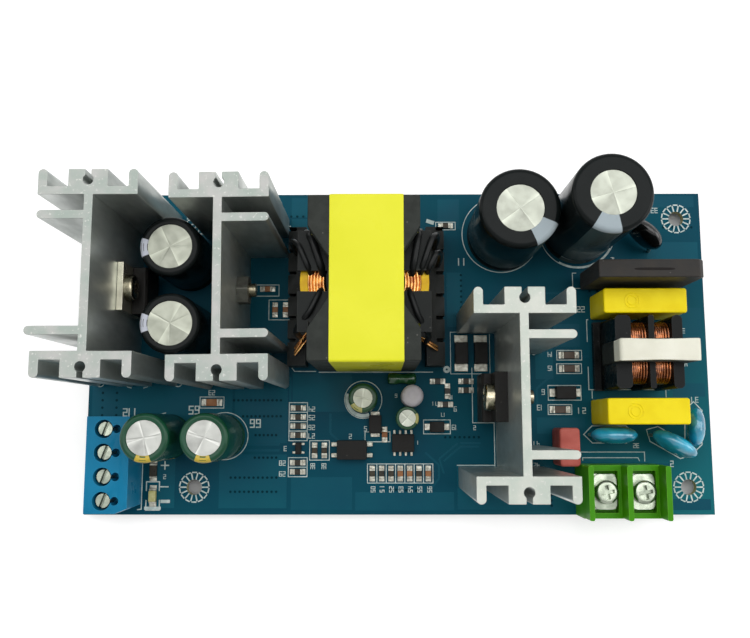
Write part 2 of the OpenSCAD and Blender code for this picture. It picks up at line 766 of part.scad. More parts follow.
// Outline of a core half: full width at both ends, waisted between.
module core_outline() {
    x = core_w / 2;
    y = core_l / 2;
    step = y - core_end_l;
    polygon([
        [x, y], [x, step], [core_waist_w / 2, core_waist_l / 2], [core_waist_w / 2, -core_waist_l / 2],
        [x, -step], [x, -y], [-x, -y], [-x, -step], [-core_waist_w / 2, -core_waist_l / 2],
        [-core_waist_w / 2, core_waist_l / 2], [-x, step], [-x, y]
    ]);
}

module transformer_core() {
    color("#3c3e3d") on_board(transformer_at) translate([0, 0, core_foot]) {
        linear_extrude(core_plate_t) core_outline();
        translate([0, 0, room_high - core_foot]) linear_extrude(core_plate_t) core_outline();
        translate([0, 0, core_plate_t]) {
            cylinder(d = core_leg_d, h = room_high - room_low, $fn = round_fn);
            linear_extrude(room_high - room_low) difference() {
                core_outline();
                circle(d = winding_room_d, $fn = round_fn);
            }
        }
    }
}

// One cheek of the bobbin, cut back along the core's waist.
module cheek() {
    linear_extrude(cheek_t) difference() {
        square([cheek_w, cheek_l], center = true);
        difference() {
            square([core_w + 2 * play, core_l], center = true);
            circle(d = winding_room_d - 2 * play, $fn = round_fn);
        }
        circle(d = core_leg_d + 2 * play, $fn = round_fn);
        children();
    }
}

module transformer_bobbin() {
    tube_t = 0.8;
    slot_w = 0.9;
    slot_depth = 1.2;
    color("#151615") on_board(transformer_at) {
        translate([0, 0, room_low + play]) cheek();
        translate([0, 0, room_high - cheek_t - play]) cheek() for (side = [-1, 1])
            translate([side * cheek_w / 2, 0]) square([cheek_w - core_waist_w + 1, window_l], center = true);
        translate([0, 0, room_low + play]) linear_extrude(room_high - room_low - 2 * play) difference() {
            circle(d = core_leg_d + 2 * play + 2 * tube_t, $fn = round_fn);
            circle(d = core_leg_d + 2 * play, $fn = round_fn);
        }
        for (side = [-1, 1]) translate([side * rail_x, 0, 0]) difference() {
            translate([-rail_w / 2, -rail_l / 2, 0]) cube([rail_w, rail_l, rail_h + cheek_t / 2]);
            for (p = row([side * (rail_w - slot_depth) / 2, cap_pitch / 2], rail_pins, cap_pitch, 90))
                translate([p[0] - slot_depth, p[1] - slot_w / 2, rail_h / 2])
                    cube([2 * slot_depth, slot_w, rail_h]);
        }
    }
}

winding_low = room_low + play + cheek_t;
winding_high = room_high - play - cheek_t;

// Ends of the first copper strand on each side: by the cheek's corner, and above the pin rail.
strand_ends = [
    [[0.9 - cheek_w / 2, 2.3 - cheek_l / 2, rail_h + 1.6], [-rail_x, -cheek_l / 2 - 0.8, rail_h + 1]],
    [[cheek_w / 2 - 1.7, 0.8 - cheek_l / 2, rail_h + 1.6], [rail_x, -cheek_l / 2 - 0.4, rail_h + 1]]
];

module transformer_winding() {
    strand_d = 0.6;
    strand_pitch = 0.75;
    color("#b8642d") on_board(transformer_at) {
        translate([0, 0, winding_low]) linear_extrude(winding_high - winding_low) difference() {
            circle(d = winding_d, $fn = round_fn);
            circle(d = core_leg_d + 2, $fn = round_fn);
        }
        for (strand = [0, 1], ends = strand_ends) translate([0, -strand * strand_pitch, 0])
            wire(ends[0], ends[1], strand_d);
    }
}

module transformer_winding_tape() {
    bare_rim = 0.6;
    color("#d9c02c") on_board(transformer_at) translate([0, 0, winding_low])
        linear_extrude(winding_high - winding_low - bare_rim) difference() {
            circle(d = winding_tape_d, $fn = round_fn);
            circle(d = winding_d, $fn = round_fn);
        }
}

module transformer_core_tape() {
    color("#e8e840") on_board(transformer_at) translate([core_tape_shift, 0, core_foot]) difference() {
        translate([-core_tape_w / 2, -core_l / 2 - tape_t, -tape_t])
            cube([core_tape_w, core_l + 2 * tape_t, core_top - core_foot + 2 * tape_t]);
        translate([-core_tape_w / 2 - over, -core_l / 2, 0])
            cube([core_tape_w + 2 * over, core_l, core_top - core_foot]);
    }
}

// ---- Mains choke ----

choke_foot = 0.8;
beam_low = 5.2;
choke_divider = 1.2;
choke_wall = 1;

module choke_core() {
    color("#2c2d2b") on_board(choke_at) rotate([90, 0, 0]) translate([0, 0, -choke_core_w / 2])
        linear_extrude(choke_core_w) difference() {
            translate([-choke_l / 2, beam_low]) square([choke_l, choke_h - beam_low]);
            translate([-choke_l / 2 + choke_leg_w, beam_low + choke_beam_h])
                square([choke_l - 2 * choke_leg_w, choke_h - beam_low - 2 * choke_beam_h]);
        }
}

module choke_bobbin() {
    foot = 1.4;
    tube_l = choke_room + 2 * choke_wall;
    left_x = -choke_room / 2 - choke_blocks[0];
    color("#141513") on_board(choke_at) translate([0, 0, choke_foot]) difference() {
        union() {
            for (side = [0, 1]) translate([(2 * side - 1) * (choke_room + choke_blocks[side]) / 2, 0, 0])
                rounded_block([choke_blocks[side], choke_bobbin_w, choke_bobbin_h], 1);
            rounded_block([choke_divider, choke_bobbin_w, choke_bobbin_h], choke_divider / 3);
            translate([left_x - foot, -choke_bobbin_w / 2, 0]) cube([2 * foot, choke_bobbin_w, foot]);
            translate([-tube_l / 2, -choke_core_w / 2 - choke_wall, beam_low - choke_foot - choke_wall])
                cube([tube_l, choke_core_w + 2 * choke_wall, choke_beam_h + 2 * choke_wall]);
        }
        translate([-choke_l / 2 - over, -choke_core_w / 2 - play, beam_low - choke_foot - play])
            cube([choke_l + 2 * over, choke_core_w + 2 * play, choke_beam_h + 2 * play]);
        for (side = [-1, 1])
            translate([side * (choke_l - choke_leg_w) / 2, 0, choke_h / 2 + beam_low - choke_foot])
                cube([choke_leg_w + 2 * play, choke_core_w + 2 * play, choke_h], center = true);
    }
}

module choke_windings() {
    span = (choke_room - choke_divider) / 2;
    pitch = span / choke_turns;
    core_hole = [choke_beam_h + 2 * choke_wall, choke_core_w + 2 * choke_wall];
    mid = beam_low + choke_beam_h / 2;
    coil_drop = 0.4;
    coil_h = 2 * (choke_bobbin_h - coil_drop - mid);
    ridge = 0.5;
    color("#96461e") on_board(choke_at) for (side = [-1, 1])
        translate([side * (choke_divider + span) / 2, 0, mid]) rotate([0, 90, 0]) {
            linear_extrude(span, center = true) coil_ring([coil_h - ridge, choke_coil_w - ridge], core_hole);
            for (z = row([0, 0], choke_turns, pitch, 0)) translate([0, 0, z[0]])
                linear_extrude(pitch / 2, center = true) coil_ring([coil_h, choke_coil_w], core_hole);
        }
}

module coil_ring(size, hole) {
    corner = 3;
    difference() {
        rounded_rect(size, corner);
        square(hole, center = true);
    }
}

module choke_tape() {
    tape_l = choke_l + 2 * choke_tape_t;
    drop = 4;
    color("#ecead9") on_board(choke_at) translate([0, 0, choke_h - drop]) difference() {
        translate([-tape_l / 2, -choke_core_w / 2, 0]) cube([tape_l, choke_core_w, drop + choke_tape_t]);
        translate([-choke_l / 2, -choke_core_w / 2 - over, -over])
            cube([choke_l, choke_core_w + 2 * over, drop + over]);
    }
}

// ---- Mains parts ----

module box_cap(at, size) {
    corner = 0.6;
    color("#eedc1e") on_board(at) rounded_block(size, corner);
}
module x_capacitor_front() box_cap(x_front_at, x_front);
module x_capacitor_back() box_cap(x_back_at, x_back);

// A dipped disc that stands on edge, its flat sides facing Y.
module dipped_disc(size) {
    r = size[0] / 2;
    t = size[1] / 2;
    rim = 0.7;
    bulge_r = (r * r + t * t) / (2 * t);
    rotate([90, 0, 0]) rotate_extrude($fn = round_fn) {
        intersection() {
            translate([0, bulge_r - t]) circle(bulge_r, $fn = 2 * round_fn);
            translate([0, t - bulge_r]) circle(bulge_r, $fn = 2 * round_fn);
            translate([0, -t]) square([r, 2 * t]);
        }
        translate([r - rim, 0]) circle(rim);
    }
}

// Place, turn, lead spacing, body size and lean of each disc.
discs = [
    [y_left_at, 0, disc_pitch, y_cap, 0],
    [y_middle_at, -30, disc_pitch, y_cap, 0],
    [y_right_at, 87, thin_pitch * 2, y_cap_small, y_right_lean],
    [thermistor_at, -44, disc_pitch, thermistor, 0]
];

// Moves its children to the foot of a disc, which leans about the line between its leads.
module at_disc(d) {
    on_board(d[0], d[1]) rotate([-d[4], 0, 0]) children();
}

module disc(d, tint) {
    color(tint) at_disc(d) translate([0, 0, disc_z]) dipped_disc(d[3]);
}
module y_capacitor_left() disc(discs[0], "#1e82b4");
module y_capacitor_middle() disc(discs[1], "#1e82b4");
module y_capacitor_right() disc(discs[2], "#1e82b4");
module thermistor_disc() disc(discs[3], "#1c1f1e");

module bridge_rectifier() {
    chamfer = 1.2;
    color("#3e3b37") on_board(bridge_at) translate([0, bridge[1] / 2, bridge_lift]) rotate([90, 0, 0])
        linear_extrude(bridge[1]) polygon([
            [-bridge[0] / 2, 0], [bridge[0] / 2, 0], [bridge[0] / 2, bridge[2] - chamfer],
            [bridge[0] / 2 - chamfer, bridge[2]], [-bridge[0] / 2, bridge[2]]
        ]);
}

module fuse_body() {
    corner = 0.8;
    color("#be5f5a") on_board(fuse_at) translate([0, 0, cap_foot]) rounded_block(fuse, corner);
}

// Leads that show between the board and the parts they carry.
module component_leads() {
    entry_share = 0.34;
    color("silver") {
        for (p = row(bridge_at, 4, cap_pitch, 0)) on_board(p) cylinder(d = bridge_lead_d, h = bridge_lift);
        for (d = discs) at_disc(d) for (side = [-1, 1]) {
            inner = entry_share * d[3][0];
            rise = disc_z - sqrt(pow(d[3][0] / 2, 2) - pow(inner, 2)) - wire_d / 2;
            wire([side * d[2] / 2, 0, play], [side * inner, 0, rise], wire_d);
        }
    }
}

// ---- Output terminal block ----

entry_z = 1.3;
entry_depth = 6;
entry_roof = 0.2;
well_depth = output_block_h - entry_z - entry_h - entry_roof;
test_hole_x = 2.75;

module output_block_housing() {
    corner = [2.6, 1.1];
    color("#1e82b9") on_board(output_block_at) difference() {
        linear_extrude(output_block_h) polygon([
            [-output_block_d / 2, -output_block_w / 2], [output_block_d / 2 - corner[0], -output_block_w / 2],
            [output_block_d / 2, -output_block_w / 2 + corner[1]], [output_block_d / 2, output_block_w / 2],
            [-output_block_d / 2, output_block_w / 2]
        ]);
        for (p = row([output_screw_x, 0], 4, output_pitch, 90)) {
            translate([p[0], p[1], output_block_h - well_depth]) cylinder(d = well_d, h = well_depth + over);
            translate([p[0] + test_hole_x, p[1], output_block_h - well_depth])
                cylinder(d = test_hole_d, h = well_depth + over);
            translate([-output_block_d / 2 - over, p[1] - entry[0] / 2, entry_z])
                cube([entry_depth + over, entry[0], entry[1]]);
        }
    }
}

module output_block_screws() {
    slot = [0.6, 0.9];
    slot_turn = 70;
    length = well_depth - clamp_sink;
    color("#b8b9a6") on_board(output_block_at) for (p = row([output_screw_x, 0], 4, output_pitch, 90))
        translate([p[0], p[1], output_block_h - clamp_sink - length]) difference() {
            cylinder(d = clamp_screw_d, h = length);
            rotate([0, 0, slot_turn]) translate([-well_d / 2, -slot[0] / 2, length - slot[1]])
                cube([well_d, slot[0], slot[1] + over]);
        }
}

module output_block_cages() {
    wall = 0.4;
    mouth_x = 0.6 - output_block_d / 2;
    size = [4, entry[0] - 2 * play, entry[1] - 2 * play];
    room = size - 2 * [0, wall, wall];
    color("#c3c3b8") on_board(output_block_at) for (p = row([mouth_x, 0], 4, output_pitch, 90))
        translate([p[0], p[1] - size[1] / 2, entry_z + play]) difference() {
            cube(size);
            translate([-over, wall, wall]) cube(room + [2 * over, 0, 0]);
        }
}

// ---- Input terminal block ----

input_w = 2 * input_pitch + divider_t;
pocket = [5.6, 8.8, 2.4];
clamp_plate_t = 1.8;

module input_block_housing() {
    color("#3c8c14") on_board(input_block_at) {
        difference() {
            translate([-input_w / 2, -input_block_d / 2, 0]) cube([input_w, input_block_d, input_floor_h]);
            for (p = row([0, 0], 2, input_pitch, 0)) translate([p[0], p[1], input_floor_h])
                cube([pocket[0], pocket[1], 2 * pocket[2]], center = true);
        }
        for (i = [-1:1]) translate([i * input_pitch, 0, 0])
            rounded_block([divider_t, input_block_d, divider_h], divider_t / 3);
    }
}

// Clamp plates and square washers under the input screws.
module input_block_washers() {
    corners = [0.4, 1.2];
    color("#bfc0b4") on_board(input_block_at) for (p = row([0, 0], 2, input_pitch, 0))
        translate([p[0], p[1], input_floor_h - pocket[2]]) {
            rounded_block([washer[0], washer[1], clamp_plate_t], corners[0]);
            translate([0, 0, clamp_plate_t]) rounded_block(washer, corners[1]);
        }
}

module input_block_screws() {
    recess = [0.8, 3, 0.9];
    corner = input_head[1] / 2.5;
    color("#cfd0c6") on_board(input_block_at) for (p = row([0, 0], 2, input_pitch, 0))
        translate([p[0], p[1], input_floor_h - pocket[2] + clamp_plate_t + washer[2]]) difference() {
            rotate_extrude($fn = round_fn) turned_half(input_head[0] / 2, input_head[1], corner);
            for (turn = [10, 100]) rotate([0, 0, turn])
                translate([-recess[1] / 2, -recess[0] / 2, input_head[1] - recess[2]])
                    cube([recess[1], recess[0], recess[2] + over]);
        }
}

// ---- Small parts ----

// Place, turn and size of each chip resistor.
resistor_chips = concat(
    [for (i = [0:3]) [[-22.45, -12.95 - 2.02 * i], 0, chip_small]],
    [for (i = [0:1]) [[-22.45, -25.1 - 2 * i], 0, chip_small]],
    [for (i = [0:1]) [[-18.7 + 2.2 * i, -22.4], 90, chip_small]],
    [for (i = [0, 1, 2, 5]) [[-5.77 + 2.08 * i, -27.5], 90, chip_small]],
    [[[11.2, 28.96], 0, chip_small], [[-54.7, -26.9], 90, chip_middle]],
    [for (i = [0:1]) [[9 + 6.4 * i, -7], 0, chip_small]],
    [[[15.4, -9], 0, chip_small], [[11.2, -9.2], 90, chip_small], [[10.7, -12.2], 0, chip_small]]
);
// Place, turn and size of each chip capacitor.
capacitor_chips = concat(
    [for (i = [3, 4, 6]) [[-5.77 + 2.08 * i, -27.5], 90, chip_small]],
    [for (i = [0:1]) [[38.8, -1.1 - 3.05 * i], 0, chip_middle]],
    [for (i = [0:1]) [[-28 + 2.4 * i, 9.4], 90, chip_small]],
    [[[36.45, -13.35], 0, chip_middle], [[-42, -11.7], 0, chip_middle], [[-29.8, 14.2], 0, chip_small]],
    [[[-3, -18.9], 90, chip_small]]
);

module chip_bodies(chips) {
    for (c = chips) on_board(c[0], c[1]) translate([chip_end_l - c[2][0] / 2, -c[2][1] / 2, 0])
        cube([c[2][0] - 2 * chip_end_l, c[2][1], c[2][2]]);
}
module chip_resistors() color("#232425") chip_bodies(resistor_chips);
module chip_capacitors() color("#a6713c") chip_bodies(capacitor_chips);

// The two power chips beside the primary heatsink's back flange: size, lead reach and gap to the flange.
power_chip = [2.9, 4.8, 2];
power_reach = 1.7;
power_gap = 0.4;
power_y = sink_primary_at[1] + channel_y - power_gap - power_reach - power_chip[1] / 2;

// Moulded parts: place, turn, body size, leads on each side, lead pitch, lead reach and lead width.
moulded_chips = [
    [[-10.3, -22.25], 90, [4.2, 6.6, 2.6], 2, 2.4, 1.3, 0.9],
    [[1.1, -20.75], 0, [4.9, 3.9, 1.5], 4, 1.27, 0.9, 0.5],
    [[-22.3, -21.9], 90, [2.6, 1.3, 1], 2, 1.9, 0.7, 0.5],
    [[8.75, -17.2], 90, [2.4, 3.2, 1.1], 1, 0, 1.2, 1.4],
    [[-5.1, -16.6], 0, [2.8, 4, 1.4], 1, 0, 0.8, 2],
    [[37.6, -9.6], 90, [2.8, 4.4, 2], 1, 0, 1.3, 1.8],
    [[14.35, power_y], 0, power_chip, 1, 0, power_reach, 3],
    [[18.75, power_y], 0, power_chip, 1, 0, power_reach, 3]
];
chip_lift = 0.15;

module control_chips() {
    corner = 0.2;
    color("#1b1c1c") for (c = moulded_chips) on_board(c[0], c[1]) translate([0, 0, chip_lift])
        rounded_block(c[2], corner);
}

// Metal ends of the chip parts and the leads of the moulded ones.
module chip_metal() {
    color("#c8c9c2") {
        for (c = concat(resistor_chips, capacitor_chips, [lamp])) on_board(c[0], c[1]) for (side = [0, 1])
            mirror([side, 0, 0]) {
                translate([c[2][0] / 2 - chip_end_l, -c[2][1] / 2, 0]) cube([chip_end_l, c[2][1], c[2][2]]);
                translate([c[2][0] / 2, -c[2][1] / 2, 0]) cube([chip_pad_l, c[2][1], chip_pad_h]);
            }
        for (c = moulded_chips) on_board(c[0], c[1]) for (side = [-1, 1], p = row([0, 0], c[3], c[4], 0))
            translate([p[0], side * (c[2][1] + c[5]) / 2, c[2][2] / 6])
                cube([c[6], c[5], c[2][2] / 3], center = true);
    }
}

// A small lamp beside the output terminals.
lamp = [[-54.65, -32.4], 90, chip_middle];
module indicator_lamp() {
    color("#d8d890") on_board(lamp[0], lamp[1]) translate([chip_end_l - lamp[2][0] / 2, -lamp[2][1] / 2, 0])
        cube([lamp[2][0] - 2 * chip_end_l, lamp[2][1], 2 * lamp[2][2]]);
}

// ---- Solder joints ----

// Every through-hole lead, as rows of solder joints on the underside.
joint_rows = concat(
    [for (s = sinks, p = row(s[0], 2, 2 * (sink_l / 2 - groove_depth), 90 + s[1])) p],
    [for (s = sinks, p = row(device_foot(s), 3, lead_pitch, 90 + s[1])) p],
    row(output_back_at, 2, cap_pitch, 90), row(output_front_at, 2, cap_pitch, 90),
    row(bulk_left_at, 2, disc_pitch, 0), row(bulk_right_at, 2, disc_pitch, 0),
    row(filter_left_at, 2, cap_pitch, 90), row(filter_right_at, 2, cap_pitch, 90),
    row(supply_at, 2, thin_pitch, 90), row(feedback_at, 2, thin_pitch, 90),
    row(x_front_at, 2, 2 * disc_pitch, 0), row(x_back_at, 2, 2 * disc_pitch, 0),
    row(bridge_at, 4, cap_pitch, 0), row(fuse_at, 2, cap_pitch, 90),
    [for (d = discs, p = row(d[0], 2, d[2], d[1])) p],
    [for (side = [-1, 1], p = row(transformer_at + [side * rail_x, 0], rail_pins, cap_pitch, 90)) p],
    [for (side = [-1, 1], p = row(choke_at + [side * cap_pitch, 0], 2, 2 * cap_pitch, 90)) p],
    row(output_block_at, 4, output_pitch, 90), row(input_block_at, 2, input_pitch, 0)
);

module solder_joints() {
    collar = 0.9;
    color("silver") for (p = joint_rows) on_board(p) translate([0, 0, -board_t]) mirror([0, 0, 1]) {
        cylinder(d1 = joint_d, d2 = bridge_lead_d, h = collar);
        cylinder(d = wire_d, h = tip_drop);
    }
}

circuit_board();
heatsink_left();
heatsink_right();
heatsink_primary();
heatsink_screws();
heatsink_nuts();
left_device_body();
left_device_tab();
right_device_body();
right_device_tab();
primary_switch_body();
primary_switch_leads();
output_cap_back_can();
output_cap_back_sleeve();
output_cap_front_can();
output_cap_front_sleeve();
bulk_cap_left_can();
bulk_cap_left_sleeve();
bulk_cap_right_can();
bulk_cap_right_sleeve();
filter_cap_left_can();
filter_cap_left_sleeve();
filter_cap_right_can();
filter_cap_right_sleeve();
supply_cap_can();
supply_cap_sleeve();
feedback_cap_can();
feedback_cap_sleeve();
radial_inductor();
axial_inductor();
transformer_core();
transformer_bobbin();
transformer_winding();
transformer_winding_tape();
transformer_core_tape();
choke_core();
choke_bobbin();
choke_windings();
choke_tape();
x_capacitor_front();
x_capacitor_back();
y_capacitor_left();
y_capacitor_middle();
y_capacitor_right();
thermistor_disc();
bridge_rectifier();
fuse_body();
component_leads();
output_block_housing();
output_block_screws();
output_block_cages();
input_block_housing();
input_block_screws();
input_block_washers();
control_chips();
chip_resistors();
chip_capacitors();
chip_metal();
indicator_lamp();
solder_joints();
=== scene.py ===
import json
import math

import bmesh
import bpy
import numpy as np
from mathutils import Matrix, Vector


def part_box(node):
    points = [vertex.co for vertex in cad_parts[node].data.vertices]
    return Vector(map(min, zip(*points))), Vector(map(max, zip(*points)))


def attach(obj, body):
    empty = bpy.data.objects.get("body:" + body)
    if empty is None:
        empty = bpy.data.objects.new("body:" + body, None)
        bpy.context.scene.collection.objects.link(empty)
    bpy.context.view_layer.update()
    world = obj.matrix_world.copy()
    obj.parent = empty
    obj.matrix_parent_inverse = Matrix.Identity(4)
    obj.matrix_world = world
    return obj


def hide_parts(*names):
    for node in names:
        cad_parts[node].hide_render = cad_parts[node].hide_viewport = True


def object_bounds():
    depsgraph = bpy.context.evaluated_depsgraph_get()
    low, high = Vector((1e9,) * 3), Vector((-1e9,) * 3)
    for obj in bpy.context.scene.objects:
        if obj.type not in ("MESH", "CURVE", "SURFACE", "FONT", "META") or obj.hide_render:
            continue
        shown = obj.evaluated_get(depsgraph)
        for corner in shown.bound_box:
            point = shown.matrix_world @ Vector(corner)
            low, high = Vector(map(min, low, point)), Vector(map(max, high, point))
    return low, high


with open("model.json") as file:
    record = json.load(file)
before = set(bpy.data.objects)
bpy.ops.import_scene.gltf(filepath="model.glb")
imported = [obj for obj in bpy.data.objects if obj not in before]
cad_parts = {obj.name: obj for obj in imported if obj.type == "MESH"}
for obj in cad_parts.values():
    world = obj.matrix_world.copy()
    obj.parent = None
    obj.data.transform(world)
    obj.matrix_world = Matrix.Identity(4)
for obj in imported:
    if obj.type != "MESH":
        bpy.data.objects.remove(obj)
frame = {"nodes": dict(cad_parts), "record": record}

cad_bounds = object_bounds()

# ---- Camera ----
# The supply is looked at almost straight down, through a lens of normal length 185 mm above its board.
# The camera leans a little towards the back of the board.
MM = 0.001
camera = bpy.data.objects.new("camera", bpy.data.cameras.new("camera"))
bpy.context.scene.collection.objects.link(camera)
bpy.context.scene.camera = camera
camera.data.sensor_width = 36
camera.data.lens = 39.3
camera.data.clip_start = 0.01
yaw, tilt, roll = (math.radians(a) for a in (3.635, 7.324, -3.711))
camera.matrix_world = (
    Matrix.Translation((-13.13 * MM, -16.55 * MM, 187.25 * MM))
    @ Matrix.Rotation(yaw, 4, "Z")
    @ Matrix.Rotation(tilt, 4, "X")
    @ Matrix.Rotation(roll, 4, "Z")
)

# ---- White table, room and lamps ----
# The supply stands on a plain white table in an even, pale room.
# One long lamp hangs above and a little behind it, and a weaker one stands at each side.


def node(tree, kind, **values):
    """Adds a shader node. A value sets the socket of its name, in3 means the fourth socket, and set_x means
    the node's own setting x. A colour is given as red, green and blue."""
    made = tree.nodes.new(kind)
    for name, value in values.items():
        if name.startswith("set_"):
            setattr(made, name[4:], value)
            continue
        key = int(name[2:]) if name.startswith("in") and name[2:].isdigit() else name.replace("_", " ")
        socket = made.inputs[key]
        if isinstance(value, bpy.types.NodeSocket):
            tree.links.new(value, socket)
        else:
            socket.default_value = (*value, 1) if socket.type == "RGBA" else value
    return made


def maths(tree, operation, first, second=0.0):
    """One step of arithmetic, or one comparison."""
    return node(tree, "ShaderNodeMath", set_operation=operation, in0=first, in1=second).outputs[0]


def vector_maths(tree, operation, first, second=(0, 0, 0)):
    """The same for vectors. A length or a dot product is a number, and the rest are vectors."""
    made = node(tree, "ShaderNodeVectorMath", set_operation=operation, in0=first, in1=second)
    return made.outputs["Value" if operation in ("LENGTH", "DOT_PRODUCT") else "Vector"]


def ramp(tree, value, start=0.0, end=1.0, low=0.0, high=1.0):
    """Goes evenly from low, where the value is at start, to high, where it is at end, and no further."""
    return node(tree, "ShaderNodeMapRange", Value=value, From_Min=start, From_Max=end, To_Min=low,
                To_Max=high).outputs[0]


def coordinates(tree, kind="Object"):
    """Where on the object a point lies, or which way it faces."""
    return node(tree, "ShaderNodeTexCoord").outputs[kind]


def axes(tree, vector):
    """The three numbers of a vector."""
    return node(tree, "ShaderNodeSeparateXYZ", Vector=vector).outputs


def inside(material):
    """A material's node tree and its shader."""
    return material.node_tree, material.node_tree.nodes["Principled BSDF"]


def new_material(name, colour, roughness, **sockets):
    """A Principled material of one colour."""
    made = bpy.data.materials.new(name)
    made.use_nodes = True
    shader = inside(made)[1]
    shader.inputs["Base Color"].default_value = (*colour, 1)
    shader.inputs["Roughness"].default_value = roughness
    for key, value in sockets.items():
        shader.inputs[key.replace("_", " ")].default_value = value
    return made


def seen_directly(tree):
    """1 for rays that come from the camera, a reflection or a clear body, and 0 for all others."""
    rays = node(tree, "ShaderNodeLightPath").outputs
    mirrored = maths(tree, "MAXIMUM", rays["Is Glossy Ray"], rays["Is Transmission Ray"])
    return maths(tree, "MAXIMUM", rays["Is Camera Ray"], mirrored)


half = 2.0
shade_low, shade_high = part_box("circuit_board")
shade_middle = tuple((shade_low + shade_high) / 2)
shade_half = (shade_high - shade_low) * 0.48
table_mesh = bpy.data.meshes.new("table")
corners = np.array([(-half, -half, 0), (half, -half, 0), (half, half, 0), (-half, half, 0)])
table_mesh.from_pydata(corners + (0, 0, cad_bounds[0][2]), [], [(0, 1, 2, 3)])
table = bpy.data.objects.new("table", table_mesh)
bpy.context.scene.collection.objects.link(table)
table_paint = new_material("table white", (0.66, 0.66, 0.66), 0.9, Specular_IOR_Level=0.0)
tree, shader = inside(table_paint)
# What is seen of the table glows, more so far away, but not in the shade under the board.
across = coordinates(tree)
beside = axes(tree, vector_maths(tree, "ABSOLUTE", vector_maths(tree, "SUBTRACT", across, shade_middle)))
past_end = maths(tree, "GREATER_THAN", beside[0], shade_half[0])
past_side = maths(tree, "GREATER_THAN", beside[1], shade_half[1])
far_glow = ramp(tree, vector_maths(tree, "LENGTH", across), 0.15, 0.6, 0.5, 1.1)
glow_level = maths(tree, "MULTIPLY", maths(tree, "MAXIMUM", past_end, past_side), far_glow)
glow = node(tree, "ShaderNodeEmission", Color=(1, 1, 1), Strength=glow_level)
both = node(tree, "ShaderNodeAddShader", in0=shader.outputs[0], in1=glow.outputs[0])
pick = node(tree, "ShaderNodeMixShader", in0=seen_directly(tree), in1=shader.outputs[0], in2=both.outputs[0])
tree.links.new(pick.outputs[0], tree.nodes["Material Output"].inputs["Surface"])
table_mesh.materials.append(table_paint)

room = bpy.data.worlds.new("room")
bpy.context.scene.world = room
room.use_nodes = True
walls = room.node_tree.nodes["Background"]
walls.inputs["Color"].default_value = (1, 1, 1, 1)
wall_level = ramp(room.node_tree, seen_directly(room.node_tree), low=0.24)
room.node_tree.links.new(wall_level, walls.inputs["Strength"])


def soft_lamp(name, power, length, width, place):
    """An oblong lamp that faces the origin."""
    lamp = bpy.data.objects.new(name, bpy.data.lights.new(name, "AREA"))
    lamp.data.shape = "RECTANGLE"
    lamp.data.energy, lamp.data.size, lamp.data.size_y = power, length, width
    bpy.context.scene.collection.objects.link(lamp)
    spin = math.atan2(place[1], place[0]) + math.pi / 2
    lean = math.acos(place[2] / math.hypot(*place))
    lamp.matrix_world = (
        Matrix.Translation(place) @ Matrix.Rotation(spin, 4, "Z") @ Matrix.Rotation(lean, 4, "X")
    )


soft_lamp("lamp above", 6.0, 1.3, 0.6, (0.03, 0.2, 0.76))
soft_lamp("lamp at the left", 1.3, 0.5, 0.5, (-0.75, 0.1, 0.4))
soft_lamp("lamp at the right", 2.2, 0.5, 0.5, (0.75, 0.0, 0.36))
bpy.context.scene.view_settings.view_transform = "Standard"

# ---- Circuit board ----
# Two-sided glass-epoxy board, 1.6 mm thick, under a dark blue-green solder mask.
# It is routed to size, so its edges show the bare yellowish laminate in thin layers.
COLOUR, NUMBER, VECTOR = "NodeSocketColor", "NodeSocketFloat", "NodeSocketVector"
EVEN = (1, 1, 1)


def effect_group(name, inputs, outputs):
    """An empty shader node group with named sockets, and its two end nodes."""
    tree = bpy.data.node_groups.new(name, "ShaderNodeTree")
    for label, kind, value in inputs:
        tree.interface.new_socket(label, in_out="INPUT", socket_type=kind).default_value = value
    for label, kind in outputs:
        tree.interface.new_socket(label, in_out="OUTPUT", socket_type=kind)
    return tree, tree.nodes.new("NodeGroupInput").outputs, tree.nodes.new("NodeGroupOutput").inputs


def mixed(tree, mask, under, over):
    """One colour where the mask is 0, and another where it is 1."""
    return node(tree, "ShaderNodeMix", set_data_type="RGBA", in0=mask, in6=under, in7=over).outputs[2]


def stretched_noise(tree, given, detail):
    """A cloudy pattern that follows the object, at a scale and a stretch along each axis."""
    place = vector_maths(tree, "MULTIPLY", coordinates(tree), given["Stretch"])
    return node(tree, "ShaderNodeTexNoise", Vector=place, Scale=given["Scale"], Detail=detail).outputs["Fac"]


# Mottle: two shades in soft patches. A small stretch along an axis draws the patches out into streaks.
mottle, given, out = effect_group(
    "mottle",
    [("Shade", COLOUR, (1, 1, 1, 1)), ("Other shade", COLOUR, (0, 0, 0, 1)), ("Scale", NUMBER, 300.0),
     ("Stretch", VECTOR, EVEN), ("Low", NUMBER, 0.35), ("High", NUMBER, 0.65)],
    [("Colour", COLOUR), ("Mask", NUMBER)],
)
patch = ramp(mottle, stretched_noise(mottle, given, 4.0), given["Low"], given["High"])
mottle.links.new(mixed(mottle, patch, given["Shade"], given["Other shade"]), out["Colour"])
mottle.links.new(patch, out["Mask"])

# Grain: a fine bump of a given height, drawn out the same way.
grain, given, out = effect_group(
    "grain", [("Scale", NUMBER, 2000.0), ("Stretch", VECTOR, EVEN), ("Height", NUMBER, 0.02 * MM)],
    [("Normal", VECTOR)],
)
dents = node(grain, "ShaderNodeBump", Height=stretched_noise(grain, given, 5.0), Distance=given["Height"],
             Strength=0.6)
grain.links.new(dents.outputs[0], out["Normal"])

